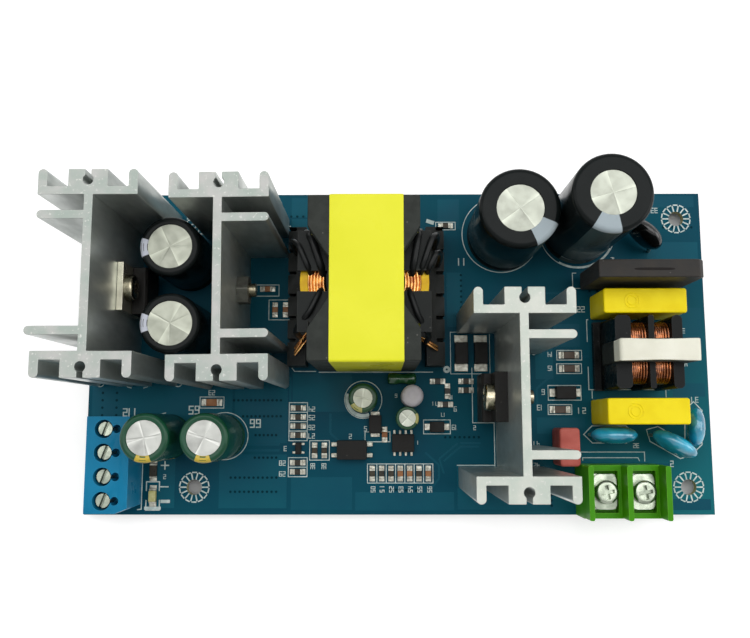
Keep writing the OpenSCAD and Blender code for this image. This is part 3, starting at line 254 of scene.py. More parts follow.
# Specks: small round spots of dust or bare grit, one in some of the cells of a loose pattern.
specks, given, out = effect_group(
    "specks", [("Scale", NUMBER, 1100.0), ("Size", NUMBER, 0.16), ("Share", NUMBER, 0.12)],
    [("Mask", NUMBER)],
)
cells = node(specks, "ShaderNodeTexVoronoi", Vector=coordinates(specks), Scale=given["Scale"]).outputs
spot = maths(specks, "LESS_THAN", cells["Distance"], given["Size"])
chance = node(specks, "ShaderNodeSeparateColor", Color=cells["Color"]).outputs[0]
chosen = maths(specks, "LESS_THAN", chance, given["Share"])
specks.links.new(maths(specks, "MULTIPLY", spot, chosen), out["Mask"])

# Edge glints: a painted highlight, found where the normal, averaged over a small radius, turns away from the
# face's own.
edge_glints, given, out = effect_group("worn edges", [("Radius", NUMBER, 0.25 * MM)], [("Mask", NUMBER)])
eased = node(edge_glints, "ShaderNodeBevel", set_samples=6, Radius=given["Radius"]).outputs[0]
face = node(edge_glints, "ShaderNodeNewGeometry").outputs["Normal"]
same = vector_maths(edge_glints, "DOT_PRODUCT", eased, face)
edge_glints.links.new(ramp(edge_glints, same, 0.99, 0.8), out["Mask"])


def effect(tree, group, **values):
    """Places a shared effect in a material, and gives its results."""
    return node(tree, "ShaderNodeGroup", set_node_tree=group, **values).outputs


def feeding(shader, socket):
    """What feeds a socket of the shader so far."""
    return shader.inputs[socket].links[0].from_socket


def blend_in(tree, shader, mask, colour):
    """Mixes a colour over what already feeds the shader's colour, where the mask is 1."""
    over = mixed(tree, mask, feeding(shader, "Base Color"), colour)
    tree.links.new(over, shader.inputs["Base Color"])


def finish(name, shade, other, rough, spread=0.08, scale=300.0, stretch=EVEN, grain_scale=2500.0,
           depth=0.01 * MM, low=0.35, high=0.65, shine=0.5, dust=None, worn=None, **sockets):
    """A material in two mottled shades, with a roughness that follows them, a fine grain, a weak or strong
    shine, specks of dust, and a painted highlight along its edges, in another colour."""
    made = new_material(name, shade, rough, Specular_IOR_Level=shine, **sockets)
    tree, shader = inside(made)
    patches = effect(tree, mottle, Shade=shade, Other_shade=other, Scale=scale, Stretch=stretch, Low=low,
                     High=high)
    tree.links.new(patches["Colour"], shader.inputs["Base Color"])
    gloss = ramp(tree, patches["Mask"], low=max(rough - spread, 0.02), high=rough + spread)
    tree.links.new(gloss, shader.inputs["Roughness"])
    fine = effect(tree, grain, Scale=grain_scale, Stretch=stretch, Height=depth)
    tree.links.new(fine["Normal"], shader.inputs["Normal"])
    if dust:
        blend_in(tree, shader, effect(tree, specks)["Mask"], dust)
    # Painted highlight: a paler colour along the edges, standing for glints.
    if worn:
        blend_in(tree, shader, effect(tree, edge_glints)["Mask"], worn)
    return made


def upward(tree):
    """1 on faces that look straight up or down, and 0 on upright ones."""
    return ramp(tree, maths(tree, "ABSOLUTE", axes(tree, coordinates(tree, "Normal"))[2]), 0.5, 0.8)


mask_paint = finish("solder mask", (0.001, 0.052, 0.086), (0.002, 0.066, 0.097), 0.42, scale=45.0,
                    grain_scale=900.0, depth=0.006 * MM, shine=0.05)
tree, shader = inside(mask_paint)
# The mask is lighter towards the corner with the mains terminals, and absent on the edges.
along = axes(tree, coordinates(tree))
mains_corner = ramp(tree, maths(tree, "SUBTRACT", along[0], along[1]), 40 * MM, 98 * MM)
blend_in(tree, shader, mains_corner, (0.009, 0.135, 0.16))
layers = node(tree, "ShaderNodeTexWave", set_bands_direction="Z", Scale=1600.0, Distortion=0.6,
              Vector=vector_maths(tree, "MULTIPLY", coordinates(tree), (0, 0, 1)))
laminate = mixed(tree, layers.outputs["Fac"], (0.3, 0.29, 0.14), (0.42, 0.41, 0.24))
faced = mixed(tree, upward(tree), laminate, feeding(shader, "Base Color"))
tree.links.new(faced, shader.inputs["Base Color"])
board = frame["nodes"]["circuit_board"].data
board.materials.clear()
board.materials.append(mask_paint)

board_low, board_high = (np.array(corner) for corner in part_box("circuit_board"))
board_middle = (board_low + board_high) / 2
board_top = board_high[2]

# ---- Copper tracks and vias ----
# Copper 0.035 mm thick lies under the solder mask, which is paler over it. Wide pours carry the output
# current, and rows of small plated holes stitch the two sides together.


# Edges that turn by more degrees than this stay sharp.
CREASE = 35


def placed(name, mesh, paint, stands_for=()):
    """Puts a mesh into the scene as a piece that rides with the supply."""
    made = bpy.data.objects.new(name, mesh)
    bpy.context.scene.collection.objects.link(made)
    mesh.materials.clear()
    mesh.materials.append(paint)
    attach(made, "root")
    if stands_for:
        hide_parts(*stands_for)
    return made


def welded(name, points, quads, coords=None, crease=CREASE):
    """A mesh of four-cornered faces. Corners that meet are made one, the faces are turned outwards, and edges
    sharper than the crease angle stay sharp."""
    mesh = bpy.data.meshes.new(name)
    mesh.vertices.add(len(points))
    mesh.vertices.foreach_set("co", points.ravel())
    mesh.loops.add(quads.size)
    mesh.loops.foreach_set("vertex_index", quads.ravel())
    mesh.polygons.add(len(quads))
    mesh.polygons.foreach_set("loop_start", np.arange(0, quads.size, 4))
    if coords is not None:
        mesh.uv_layers.new(name="UVMap").uv.foreach_set("vector", coords[quads.ravel()].ravel())
    mesh.update(calc_edges=True)
    shape = bmesh.new()
    shape.from_mesh(mesh)
    bmesh.ops.remove_doubles(shape, verts=shape.verts, dist=1e-7)
    bmesh.ops.recalc_face_normals(shape, faces=shape.faces)
    shape.to_mesh(mesh)
    shape.free()
    mesh.shade_smooth()
    mesh.set_sharp_from_angle(angle=math.radians(crease))
    return mesh


def built(name, shape, paint, stands_for=(), crease=CREASE):
    """Welds a shape, given as points, faces and perhaps map coordinates, and puts it into the scene."""
    return placed(name, welded(name, *shape, crease=crease), paint, stands_for)


BOX_FACES = np.array([(0, 3, 2, 1), (4, 5, 6, 7), (0, 1, 5, 4), (1, 2, 6, 5), (2, 3, 7, 6), (3, 0, 4, 7)])


def flat_bars(rows, height, overrun=0.0):
    """Flat bars on the board. Each row (x1, y1, x2, y2, width), in mm from the board's middle, is a box round
    its line: the ends plus and minus half the width, square to the line. The ends run over by a share of the
    width. Neighbours in the list differ by a small step in height, so that none lie in one plane."""
    sunk, step, steps = 0.05, 0.0006, 9
    rows = np.array(rows, float)
    ends = rows[:, :4].reshape(-1, 2, 2)
    along = ends[:, 1] - ends[:, 0]
    along /= np.maximum(np.linalg.norm(along, axis=1), 1e-9)[:, None]
    along *= rows[:, 4:]
    aside = np.stack([-along[:, 1], along[:, 0]], -1) / 2
    a, b = ends[:, 0] - overrun * along, ends[:, 1] + overrun * along
    ring = np.stack([a - aside, b - aside, b + aside, a + aside], 1)
    flat = np.concatenate([ring, ring], 1) * MM + board_middle[:2]
    levels = board_top + np.repeat([-sunk, height], 4) * MM
    levels = levels + np.repeat([0, 1], 4) * (np.arange(len(rows)) % steps)[:, None] * step * MM
    points = np.concatenate([flat, levels[..., None]], -1)
    quads = BOX_FACES[None] + 8 * np.arange(len(rows))[:, None, None]
    return points.reshape(-1, 3), quads.reshape(-1, 4)


copper_paint = finish("mask over copper", (0.002, 0.066, 0.104), (0.004, 0.082, 0.118), 0.38, scale=70.0,
                      grain_scale=900.0, depth=0.004 * MM, shine=0.06)
# Each pour is a bar: (x1, y1, x2, y2, width).
pours = [
    (-69.2, -11.8, -37.4, -11.8, 9), (-36.8, -14, -24.9, -14, 13.6), (-56, -28.8, -49.9, -28.8, 12.5),
    (-40, -29.2, -24.9, -29.2, 11.8), (-23.9, -31.9, -10.3, -31.9, 7.2), (-23.8, -9.5, -10.4, -9.5, 8.6),
    (-9.6, -33.6, 12.4, -33.6, 4), (13.2, -30.6, 34.5, -30.6, 9.6), (-44.4, -8.5, -44.4, -24.8, 2.2),
    (9.4, 31.8, 14.4, 31.8, 7), (-24.5, 33.4, -19.4, 33.4, 4.6), (-24.4, 29.4, -19.6, 29.4, 2.6),
    (57.5, 20.5, 69.2, 20.5, 9), (31.2, -3, 35.2, -3, 7), (31.2, -16.9, 42, -16.9, 3.6),
    (44.5, 12.3, 58, 12.3, 3), (62, -9, 69.2, -9, 3), (62.5, 5.2, 69.2, 5.2, 9),
    (57.4, -29.8, 60.6, -29.8, 9), (35.5, 3.4, 41.4, 3.4, 5.2), (50, 34.6, 68.8, 34.6, 2.6),
    (13, 18, 13, 5.4, 3.4), (-21, 2, -21, 28, 2.4), (26, -27.5, 29.4, -27.5, 8),
    (58, -34.3, 69.2, -34.3, 2.4),
]
tracks = [
    (-24.3, -6, -24.3, -12.4, 0.45), (-34, -21.1, -26.6, -21.1, 0.5), (-34, -22.4, -26.6, -22.4, 0.5),
    (6.1, -22.9, 9.1, -25.6, 0.45), (9.1, -25.6, 9.1, -28.6, 0.45), (9.1, -28.6, 7.4, -30.7, 0.45),
    (14, -20.8, 18.5, -20.8, 0.4), (13.3, -20.9, 9.2, -24.3, 0.4), (9.2, -24.3, 10.2, -27.5, 0.4),
    (14, -21.6, 18.1, -21.6, 0.4), (14, -21.6, 10.2, -24.8, 0.4), (34.2, -6.2, 31.4, -8.6, 0.5),
    (31.4, -8.6, 31.4, -12.6, 0.5), (42, -1.4, 46, -1.4, 0.5), (-15.2, -14.2, -15.2, -18.6, 0.5),
    (-15.2, -18.6, -13.2, -20.4, 0.5), (15.4, 27.4, 12.9, 30.6, 0.5), (12.9, 30.6, 12.9, 34.2, 0.5),
    (60.4, 16.4, 67.8, 16.4, 0.5), (38.6, 13.2, 33.4, 13.2, 0.5), (33.4, 13.2, 30.2, 10.4, 0.5),
]
built("board_copper", flat_bars(pours + tracks, 0.02), copper_paint)

# Vias: each row runs from one point to another, with a number of them evenly between.
via_rows = [
    (-37, -11.2, -26.4, -11.2, 12), (-34.9, -14.8, -26.4, -14.8, 10), (-32, -19, -27.4, -19, 6),
    (-32.1, -24, -27.3, -24, 6), (-37.4, -28.4, -27.2, -28.4, 11), (-37.4, -31.5, -27.2, -31.5, 11),
    (-66.8, -9.5, -66.8, -14.5, 4), (-63.6, -9.5, -63.6, -14.5, 4), (10.6, -19.5, 18.1, -19.5, 8),
    (-1.6, -31, 4, -31.3, 6), (14.6, 17.4, 14.6, 7.4, 9), (31, 6, 31, 12.4, 6), (44, 13.6, 56, 13.6, 8),
    (-24.6, 31.3, -20.4, 31.3, 4), (61.5, 28.5, 68, 28.5, 4), (34, -30, 34, -34.5, 5),
]
vias = np.concatenate([np.linspace(row[:2], row[2:4], row[4]) for row in via_rows])
# A via is a low stud with eight sides, a little higher than the copper round it. Its top and its bottom
# are three four-cornered faces each.
via_radius, via_low, via_high = 0.3, -0.05, 0.028
angle = np.arange(8) * np.pi / 4
rim = via_radius * np.stack([np.cos(angle), np.sin(angle)], -1)
flat = np.repeat((vias[:, None] + rim)[:, None], 2, 1) * MM + board_middle[:2]
levels = 0 * flat[..., :1] + (board_top + np.array([via_low, via_high]) * MM)[:, None, None]
points = np.concatenate([flat, levels], -1).reshape(-1, 3)
lap, nxt = np.arange(8), (np.arange(8) + 1) % 8
walls = np.stack([lap, nxt, nxt + 8, lap + 8], -1)
lids = np.array([(8, 9, 10, 11), (8, 11, 12, 15), (12, 13, 14, 15), (3, 2, 1, 0), (7, 4, 3, 0), (7, 6, 5, 4)])
quads = (np.concatenate([walls, lids])[None] + 16 * np.arange(len(vias))[:, None, None]).reshape(-1, 4)
via_paint = finish("filled via", (0.001, 0.022, 0.033), (0.001, 0.028, 0.04), 0.5, shine=0.02)
built("board_vias", (points, quads), via_paint)

# ---- Printed outlines ----
# White epoxy ink, screened onto the board: outlines of the parts, star rings round the mounting holes,
# and plain reference numbers, read from the back of the board.
LINE = 0.17


def path(*corners, width=LINE):
    """Bars along straight lines through the corners."""
    return [(*a, *b, width) for a, b in zip(corners[:-1], corners[1:])]


def frame_of(x, y, length, depth):
    """A rectangle round a middle."""
    x1, x2, y1, y2 = x - length / 2, x + length / 2, y - depth / 2, y + depth / 2
    return path((x1, y1), (x2, y1), (x2, y2), (x1, y2), (x1, y1))


def arc(x, y, radius, start=0.0, end=360.0, width=LINE, steps=48):
    """Bars along an arc: the middle plus the radius times cosine and sine of evenly spaced angles."""
    turn = np.radians(np.linspace(start, end, steps + 1))
    return path(*np.stack([x + radius * np.cos(turn), y + radius * np.sin(turn)], -1), width=width)


def star(x, y, petals=14, inner=1.85, outer=3.0, ring=3.28):
    """The star round a mounting hole: spokes between two radii, and a short dash on a third radius outside
    the gap between each two spokes."""
    spoke, gap = np.arange(petals) * 2 * np.pi / petals, 0.1
    bars = []
    for near, near_turn, far, far_turn, width in (
        (inner, spoke, outer, spoke, 0.3), (ring, spoke + gap, ring, spoke + 2 * np.pi / petals - gap, 0.28),
    ):
        bars += zip(x + near * np.cos(near_turn), y + near * np.sin(near_turn),
                    x + far * np.cos(far_turn), y + far * np.sin(far_turn), [width] * petals)
    return bars


def swung(x, y, turn):
    """A point or a whole grid, turned by some degrees about the upright axis."""
    c, s = math.cos(math.radians(turn)), math.sin(math.radians(turn))
    return c * x - s * y, s * x + c * y


DIGIT_BARS = ("abcdef", "bc", "abged", "abgcd", "fgbc", "afgcd", "afgedc", "abc", "abcdefg", "abcdfg")
BAR_ENDS = {
    "a": (0, 2, 1, 2), "b": (1, 2, 1, 1), "c": (1, 1, 1, 0), "d": (0, 0, 1, 0), "e": (0, 0, 0, 1),
    "f": (0, 1, 0, 2), "g": (0, 1, 1, 1),
}


def number(x, y, value, size=1.0, turn=180):
    """A plain reference number in straight bars. The whole number is turned about its middle."""
    bars, digits = [], str(value)
    for i, digit in enumerate(digits):
        for key in DIGIT_BARS[int(digit)]:
            x1, y1, x2, y2 = BAR_ENDS[key]
            shift = 1.6 * i - 0.8 * len(digits) + 0.3
            a, b = swung(x1 + shift, y1 - 1, turn), swung(x2 + shift, y2 - 1, turn)
            bars.append((x + a[0] * size / 2, y + a[1] * size / 2, x + b[0] * size / 2, y + b[1] * size / 2,
                         0.16 * size))
    return bars


print_bars = []
holes = frame["record"]["mounts"][0]
apart_x, apart_y = holes["dims"]["spacing_x_mm"] / 2, holes["dims"]["spacing_y_mm"] / 2
hole_x, hole_y = np.array(holes["pos_m"][:2]) / MM - board_middle[:2] / MM
for side in (-1, 1):
    for end in (-1, 1):
        print_bars += star(hole_x + side * apart_x, hole_y + end * apart_y)
# Rings round the round parts, whole or in part: place, radius, first and last angle, width.
for x, y, radius, start, end, width in (
    (23.9, 26.9, 8.9, 0, 360, LINE), (41.6, 27.7, 8.75, 0, 360, LINE), (41.6, 27.7, 8.5, 240, 330, 0.3),
    (-38.95, -19.2, 5.25, 0, 360, LINE), (-51.5, -19.2, 5.25, 100, 260, LINE),
    (-7.8, -11.1, 4.2, 0, 360, LINE), (-7.8, -11.1, 3.6, 165, 285, 0.8),
):
    print_bars += arc(x, y, radius, start, end, width)
print_bars += arc(11.1, -4.3, 0.5, width=0.5, steps=16)
for x in (-67.5, -49.8):
    print_bars += arc(x, -7.2, 0.9, 180, 360, steps=16)
# Outlines of the transformer, choke, bridge, switch and terminal blocks: width, then the corners.
for width, *corners in (
    (LINE, (-61.8, -7.6), (-61.2, -8.2), (-60.4, -8.4)), (LINE, (-56.4, -7.6), (-56.8, -8.2), (-57.6, -8.4)),
    (LINE, (-24, -3.9), (-23.4, -4.7), (-18.6, -4.7)), (0.22, (-17.8, -4.9), (7.9, -4.9)),
    (LINE, (8.2, 12.2), (10.2, 12.2), (10.2, 13.4)), (0.2, (-25, 14), (-23, 14), (-23, 18)),
    (LINE, (43.4, 7), (43.1, 7), (43.1, 2)), (0.2, (43.1, -3.8), (43.1, -8.9), (61.1, -8.9)),
    (LINE, (43.8, -9.1), (43.8, -10.8)), (LINE, (60.4, -9.1), (60.4, -10.6)),
    (LINE, (41, 17.8), (40.2, 17.8), (40.2, 14.25), (49.4, 14.25)),
    (LINE, (16.8, -4), (16.8, -16.3), (21.6, -16.3), (21.6, -27.2)), (LINE, (13.2, -25.7), (21.5, -25.7)),
    (LINE, (37.3, -22.8), (55, -22.8), (55, -24.8)), (LINE, (41.2, -24.6), (41.2, -24.05), (53.5, -24.05)),
    (LINE, (53.5, -24.05), (53.8, -24.7)), (0.22, (-57.2, -25.4), (-57.2, -35.3), (-58, -35.4)),
    (0.14, (12, -5.3), (20.9, -5.3), (20.9, 4.2), (12, 4.2), (12, -5.3)),
):
    print_bars += path(*corners, width=width)
# Frames round the small parts.
frames = [
    (-22.45, -16, 4.1, 8.5), (-22.45, -26.1, 4.2, 4.2), (-17.6, -22.4, 4.4, 4.3), (0.45, -27.5, 14.6, 4.2),
    (38.9, -1.1, 5.6, 2.2), (38.8, -4.15, 5.6, 2.2), (37.6, -9.6, 7.4, 3.3), (36.45, -13.35, 5.3, 2.2),
    (-42, -11.7, 5.4, 2.5), (-29.8, 13.9, 5.2, 2.6), (-26.9, 9.4, 5.1, 4.6), (11.2, 28.96, 4.5, 1.8),
    (8.75, -17.2, 6, 3.1), (-4.6, -19.4, 5.6, 2.2),
]
for x, y, length, depth in frames:
    print_bars += frame_of(x, y, length, depth)
print_bars += [(-24.3, y, -20.6, y, 0.2) for y in (-13.9, -16, -18.1, -26.1)]
print_bars += [(x, -29.5, x, -25.5, 0.2) for x in np.arange(-4.75, 6, 2.08)]
# The corner brackets of the indicator lamp, and the bar at its minus end.
print_bars += path((-56.2, -31.2), (-56.2, -29.3), (-53.3, -29.3), (-53.3, -31.2), width=0.24)
print_bars += path((-56.2, -33.4), (-56.2, -35.5), (-53.2, -35.5), (-53.2, -33.4), width=0.24)
print_bars += path((-56.2, -35.1), (-53.2, -35.1), width=0.7)
# Pointed outlines round the blue discs: place and turn.
ring = np.array([(-5.7, 0), (-3.8, 1.9), (3.8, 1.9), (5.7, 0), (3.8, -1.9), (-3.8, -1.9), (-5.7, 0)])
for x, y, turn in ((47.3, -18.9, 0), (60.6, -20.7, -30), (66.2, -17.3, 87)):
    print_bars += path(*np.stack(swung(*ring.T, turn), -1) + (x, y), width=0.2)
# Plus and minus beside the output terminals, and a filled oval.
print_bars += [
    (-53, -25.7, -51.4, -25.7, 0.28), (-52.2, -26.5, -52.2, -24.9, 0.28), (-53, -30.4, -51.4, -30.4, 0.28),
    (-52.6, -33.6, -51.2, -33.6, 0.7), (7.2, 30.1, 8.1, 29.8, 0.9),
]
# Reference numbers: place, number, size and turn.
numbers = [
    (34.75, -0.9, 14, 1), (34.7, -4.05, 15, 1), (32.8, -9.4, 6, 1.1), (32.1, -12.9, 13, 1.1),
    (41.4, -13.6, 21, 1.2), (41.9, 9.4, 22, 1.2), (65, 4.4, 3, 1), (65.2, -3.1, 4, 1), (66.8, -11.2, 31, 1.1),
    (53.2, -21.4, 32, 0.9), (61, -25.4, 2, 1.2), (61.8, 15, 5, 1), (30.9, -0.6, 7, 0.8), (31, -20.9, 41, 0.9),
    (30.9, -25.7, 42, 0.9), (24.2, -25.7, 43, 0.9), (15.1, 20.5, 11, 1.5), (49.7, 21, 12, 0.8),
    (59.6, 32.5, 33, 1.1), (7.7, 27.6, 8, 0.9), (12.9, -13.2, 9, 1), (10.3, -14.5, 17, 0.8),
    (12.1, -10.6, 18, 0.8), (12.8, -17.3, 19, 1), (17.2, -17.4, 2, 0.9), (-10.7, -19.3, 2, 1),
    (-19.4, -13.2, 24, 1), (-19.4, -15.1, 25, 1), (-19.4, -17.3, 26, 1), (-19.4, -19.2, 27, 1),
    (-25.9, -25.2, 28, 1), (-25.9, -27.6, 29, 1), (-25.3, -22, 3, 1), (-32.1, -16.4, 66, 1.7),
    (-46, -13.4, 65, 1.7), (-60.3, -13.9, 112, 1.6), (-42.1, -9.5, 23, 1), (-7.3, -17.6, 5, 1),
    (4.6, -20.7, 1, 0.8), (-25.4, 29, 45, 1), (-52.2, -28.2, 2, 0.9), (-0.4, -10.2, 6, 0.8),
    (8.4, -12, 71, 0.8),
]
for x, y, value, size in numbers:
    print_bars += number(x, y, value, size)
for i, x in enumerate((-5.6, -3.6, -1.5, 0.6, 2.7, 4.8, 7)):
    print_bars += number(x, -31, 50 + i, 0.9, 90)
for i, x in enumerate((-19.1, -16.6)):
    print_bars += number(x, -25.9, 38 + i, 0.9, 90)
ink = finish("white ink", (0.58, 0.66, 0.63), (0.42, 0.51, 0.49), 0.6, scale=900.0, low=0.4, high=0.6,
             shine=0.3)
built("board_print", flat_bars(print_bars, 0.035, 0.5), ink)

# ---- Heatsinks ----
# Three lengths of one extruded aluminium section, pinned upright to the board by two steel pins each.
# The saw leaves their ends matt and pale. The drawn walls are bright, with fine lines along the extrusion.


def softened(name, paint, bevel=0.15, segments=2):
    """Stands for a CAD node with a merged copy of it, whose hard edges are rounded by a bevel."""
    mesh = bpy.data.meshes.new(name + "_soft")
    shape = bmesh.new()
    shape.from_mesh(frame["nodes"][name].data)
    bmesh.ops.remove_doubles(shape, verts=shape.verts, dist=1e-6)
    bmesh.ops.dissolve_limit(shape, angle_limit=0.01, verts=shape.verts, edges=shape.edges)
    shape.to_mesh(mesh)
    shape.free()
    mesh.shade_smooth()
    mesh.set_sharp_from_angle(angle=math.radians(CREASE))
    made = placed(name + "_soft", mesh, paint, (name,))
    if bevel:
        edges = made.modifiers.new("edges", "BEVEL")
        edges.width, edges.segments, edges.limit_method = bevel * MM, segments, "ANGLE"
        edges.angle_limit = math.radians(CREASE)
        edges.harden_normals = True


def extruded(name, end, end_other):
    """Drawn walls with lines along Z, and matt sawn ends in two shades, with small burrs painted bright as
    glints.
    """
    made = finish(name, (0.53, 0.56, 0.53), (0.3, 0.325, 0.31), 0.36, scale=170.0, stretch=(1, 1, 0.35),
                  grain_scale=3000.0, depth=0.02 * MM)
    tree, shader = inside(made)
    facing = upward(tree)
    sawn = effect(tree, mottle, Shade=end, Other_shade=end_other, Scale=210.0, Low=0.36, High=0.66)
    # Small bright specks on the sawn ends: real burrs, painted pale as glints.
    burr_glints = effect(tree, mottle, Scale=1500.0, Low=0.6, High=0.74)
    blend_in(tree, shader, facing, mixed(tree, burr_glints["Mask"], sawn["Colour"], (0.66, 0.66, 0.62)))
    # Painted highlight: the edges are painted pale, as glints.
    blend_in(tree, shader, effect(tree, edge_glints)["Mask"], (0.66, 0.68, 0.64))
    tree.links.new(ramp(tree, facing, low=0.8, high=0.05), shader.inputs["Metallic"])
    rough = node(tree, "ShaderNodeMix", in0=facing, in2=feeding(shader, "Roughness"), in3=0.55)
    tree.links.new(rough.outputs[0], shader.inputs["Roughness"])
    return made


# One metal in two paints: the sawn ends are painted paler on the mains-side heatsink than on the output side,
# as painted light and shade.
darker_sink_metal = extruded("sawn aluminium, painted darker, output side", (0.34, 0.395, 0.355), (0.47, 0.47, 0.45))
lighter_sink_metal = extruded("sawn aluminium, painted lighter, mains side", (0.58, 0.6, 0.54), (0.47, 0.525, 0.465))
softened("heatsink_left", darker_sink_metal, 0.22)
softened("heatsink_right", darker_sink_metal, 0.22)
softened("heatsink_primary", lighter_sink_metal, 0.22)

# ---- Heatsink screws and nuts ----
# Zinc-plated M3 screws with a cross recess clamp each power device to its heatsink,
# with a hexagon nut behind the web. The plating is yellowish and a little dull.
plating = finish("zinc plating", (0.46, 0.42, 0.31), (0.18, 0.16, 0.11), 0.24, scale=700.0, Metallic=1.0)
softened("heatsink_screws", plating, 0.1)
# The nuts are painted nearly black: painted shade where they sit behind the web, not a duller plating.
nut_plating_painted_dark = finish("nut plating, painted dark", (0.13, 0.13, 0.11), (0.08, 0.08, 0.07), 0.45, scale=700.0, Metallic=0.7)
softened("heatsink_nuts", nut_plating_painted_dark, 0.12)

# ---- Power devices ----
# Two rectifiers in black epoxy with a tinned copper tab, and the primary switch, moulded all over.
# Each stands against its heatsink's web on three formed leads.
epoxy = finish("black epoxy", (0.008, 0.008, 0.0075), (0.014, 0.013, 0.012), 0.45, scale=500.0,
               depth=0.02 * MM, dust=(0.04, 0.04, 0.035), shine=0.1)
tab_metal = finish("tinned tab", (0.46, 0.44, 0.35), (0.36, 0.34, 0.27), 0.34, scale=350.0,
                   stretch=(1, 1, 0.2), Metallic=0.9)
lead_metal = finish("tinned lead", (0.5, 0.5, 0.46), (0.38, 0.38, 0.35), 0.36, scale=800.0, Metallic=0.9)
for side in ("left", "right"):
    softened(side + "_device_body", epoxy, 0.15)
    softened(side + "_device_tab", tab_metal, 0.12)
softened("primary_switch_body", epoxy, 0.2, 3)
softened("primary_switch_leads", lead_metal, 0.06)

# ---- Electrolytic capacitors ----
# Each is a drawn aluminium can, scored across its top so that it can vent, in a printed plastic sleeve.
# The sleeve is shrunk over the top edge and into the bead above the rubber seal.


def box_mm(name):
    """Two opposite corners of a CAD node and the middle between them, in mm."""
    low, high = (np.array(corner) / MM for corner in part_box(name))
    return low, high, (low + high) / 2


def gridded(grids):
    """Joins grids of points, in mm, into one list of points, faces and map coordinates. On each grid, four
    neighbours make a face, and the two map coordinates run from 0 to 1 across and up the grid."""
    points, quads, maps, start = [], [], [], 0
    for grid in grids:
        rows, cols = grid.shape[:2]
        at = start + np.arange(rows * cols).reshape(rows, cols)
        quads.append(np.stack([at[:-1, :-1], at[:-1, 1:], at[1:, 1:], at[1:, :-1]], -1).reshape(-1, 4))
        v, u = np.meshgrid(np.linspace(0, 1, rows), np.linspace(0, 1, cols), indexing="ij")
        maps.append(np.stack([u, v], -1).reshape(-1, 2))
        points.append(grid.reshape(-1, 3) * MM)
        start += rows * cols
    return np.concatenate(points), np.concatenate(quads), np.concatenate(maps)


def turned(profile, at, turns=96, start=0.0):
    """A turned shape: each (radius, height) of the profile goes once round an upright axis."""
    angle = math.radians(start) + np.linspace(0, 2 * np.pi, turns + 1)
    r, z = profile[:, :1], profile[:, 1:]
    return np.stack([at[0] + r * np.cos(angle), at[1] + r * np.sin(angle), at[2] + z + 0 * angle], -1)


def quarter(x, z, radius, start=0, end=90, steps=8):
    """Part of a circle in the profile: its middle plus the radius times cosine and sine of the angle."""
    turn = np.radians(np.linspace(start, end, steps + 1))
    return np.stack([x + radius * np.cos(turn), z + radius * np.sin(turn)], -1)


def round_and_up(tree):
    """The two map coordinates: the share of the way round and the share of the profile."""
    return axes(tree, node(tree, "ShaderNodeUVMap").outputs[0])


def can_paint(name, light, dark):
    """Drawn aluminium whose top carries a painted sheen in four sectors: painted brightest beside each score
    and fading round, with a random shade for each sector.
    """
    made = finish(name, light, dark, 0.4, 0.06, scale=600.0, depth=0.006 * MM, Metallic=0.5)
    tree, shader = inside(made)
    quarters = maths(tree, "MULTIPLY", round_and_up(tree)[0], 4.0)
    left = maths(tree, "SUBTRACT", 1.0, maths(tree, "FRACT", quarters))
    sector = maths(tree, "FLOOR", quarters)
    chance = node(tree, "ShaderNodeTexWhiteNoise", set_noise_dimensions="1D", in1=sector).outputs["Value"]
    painted_sheen = maths(tree, "MAXIMUM", maths(tree, "POWER", left, 5.0), ramp(tree, chance, high=0.45))
    # Painted sheen: the lighter colour is laid on by the sector pattern, as a reflection would fall.
    blend_in(tree, shader, painted_sheen, tuple(min(1.0, 1.75 * v) for v in light))
    return made


def sleeve_paint(name, shade, other, stripe, stripe_share, marks=None, side=None, shine=0.08):
    """Shrunk sleeve with a printed stripe over its first share of the way round, a darker colour painted on
    the stripe where it runs down the upright wall as painted shade, and marks along the stripe: their colour
    and how many."""
    made = finish(name, shade, other, 0.22, 0.05, scale=250.0, grain_scale=260.0, depth=0.02 * MM,
                  shine=shine)
    tree, shader = inside(made)
    round_it, along = round_and_up(tree)[:2]
    edge = ramp(tree, round_it, stripe_share, stripe_share - 0.004)
    blend_in(tree, shader, edge, stripe)
    if side:
        # Painted shade: the stripe is darker where it runs down the upright wall.
        blend_in(tree, shader, maths(tree, "MULTIPLY", edge, ramp(tree, along, 0.23, 0.2)), side)
    if marks:
        off = maths(tree, "ABSOLUTE", maths(tree, "SUBTRACT", round_it, stripe_share / 2))
        near = maths(tree, "LESS_THAN", off, stripe_share * 0.22)
        beat = maths(tree, "FRACT", maths(tree, "MULTIPLY", along, marks[1]))
        bar = maths(tree, "LESS_THAN", beat, 0.22)
        blend_in(tree, shader, maths(tree, "MULTIPLY", near, bar), marks[0])
    return made


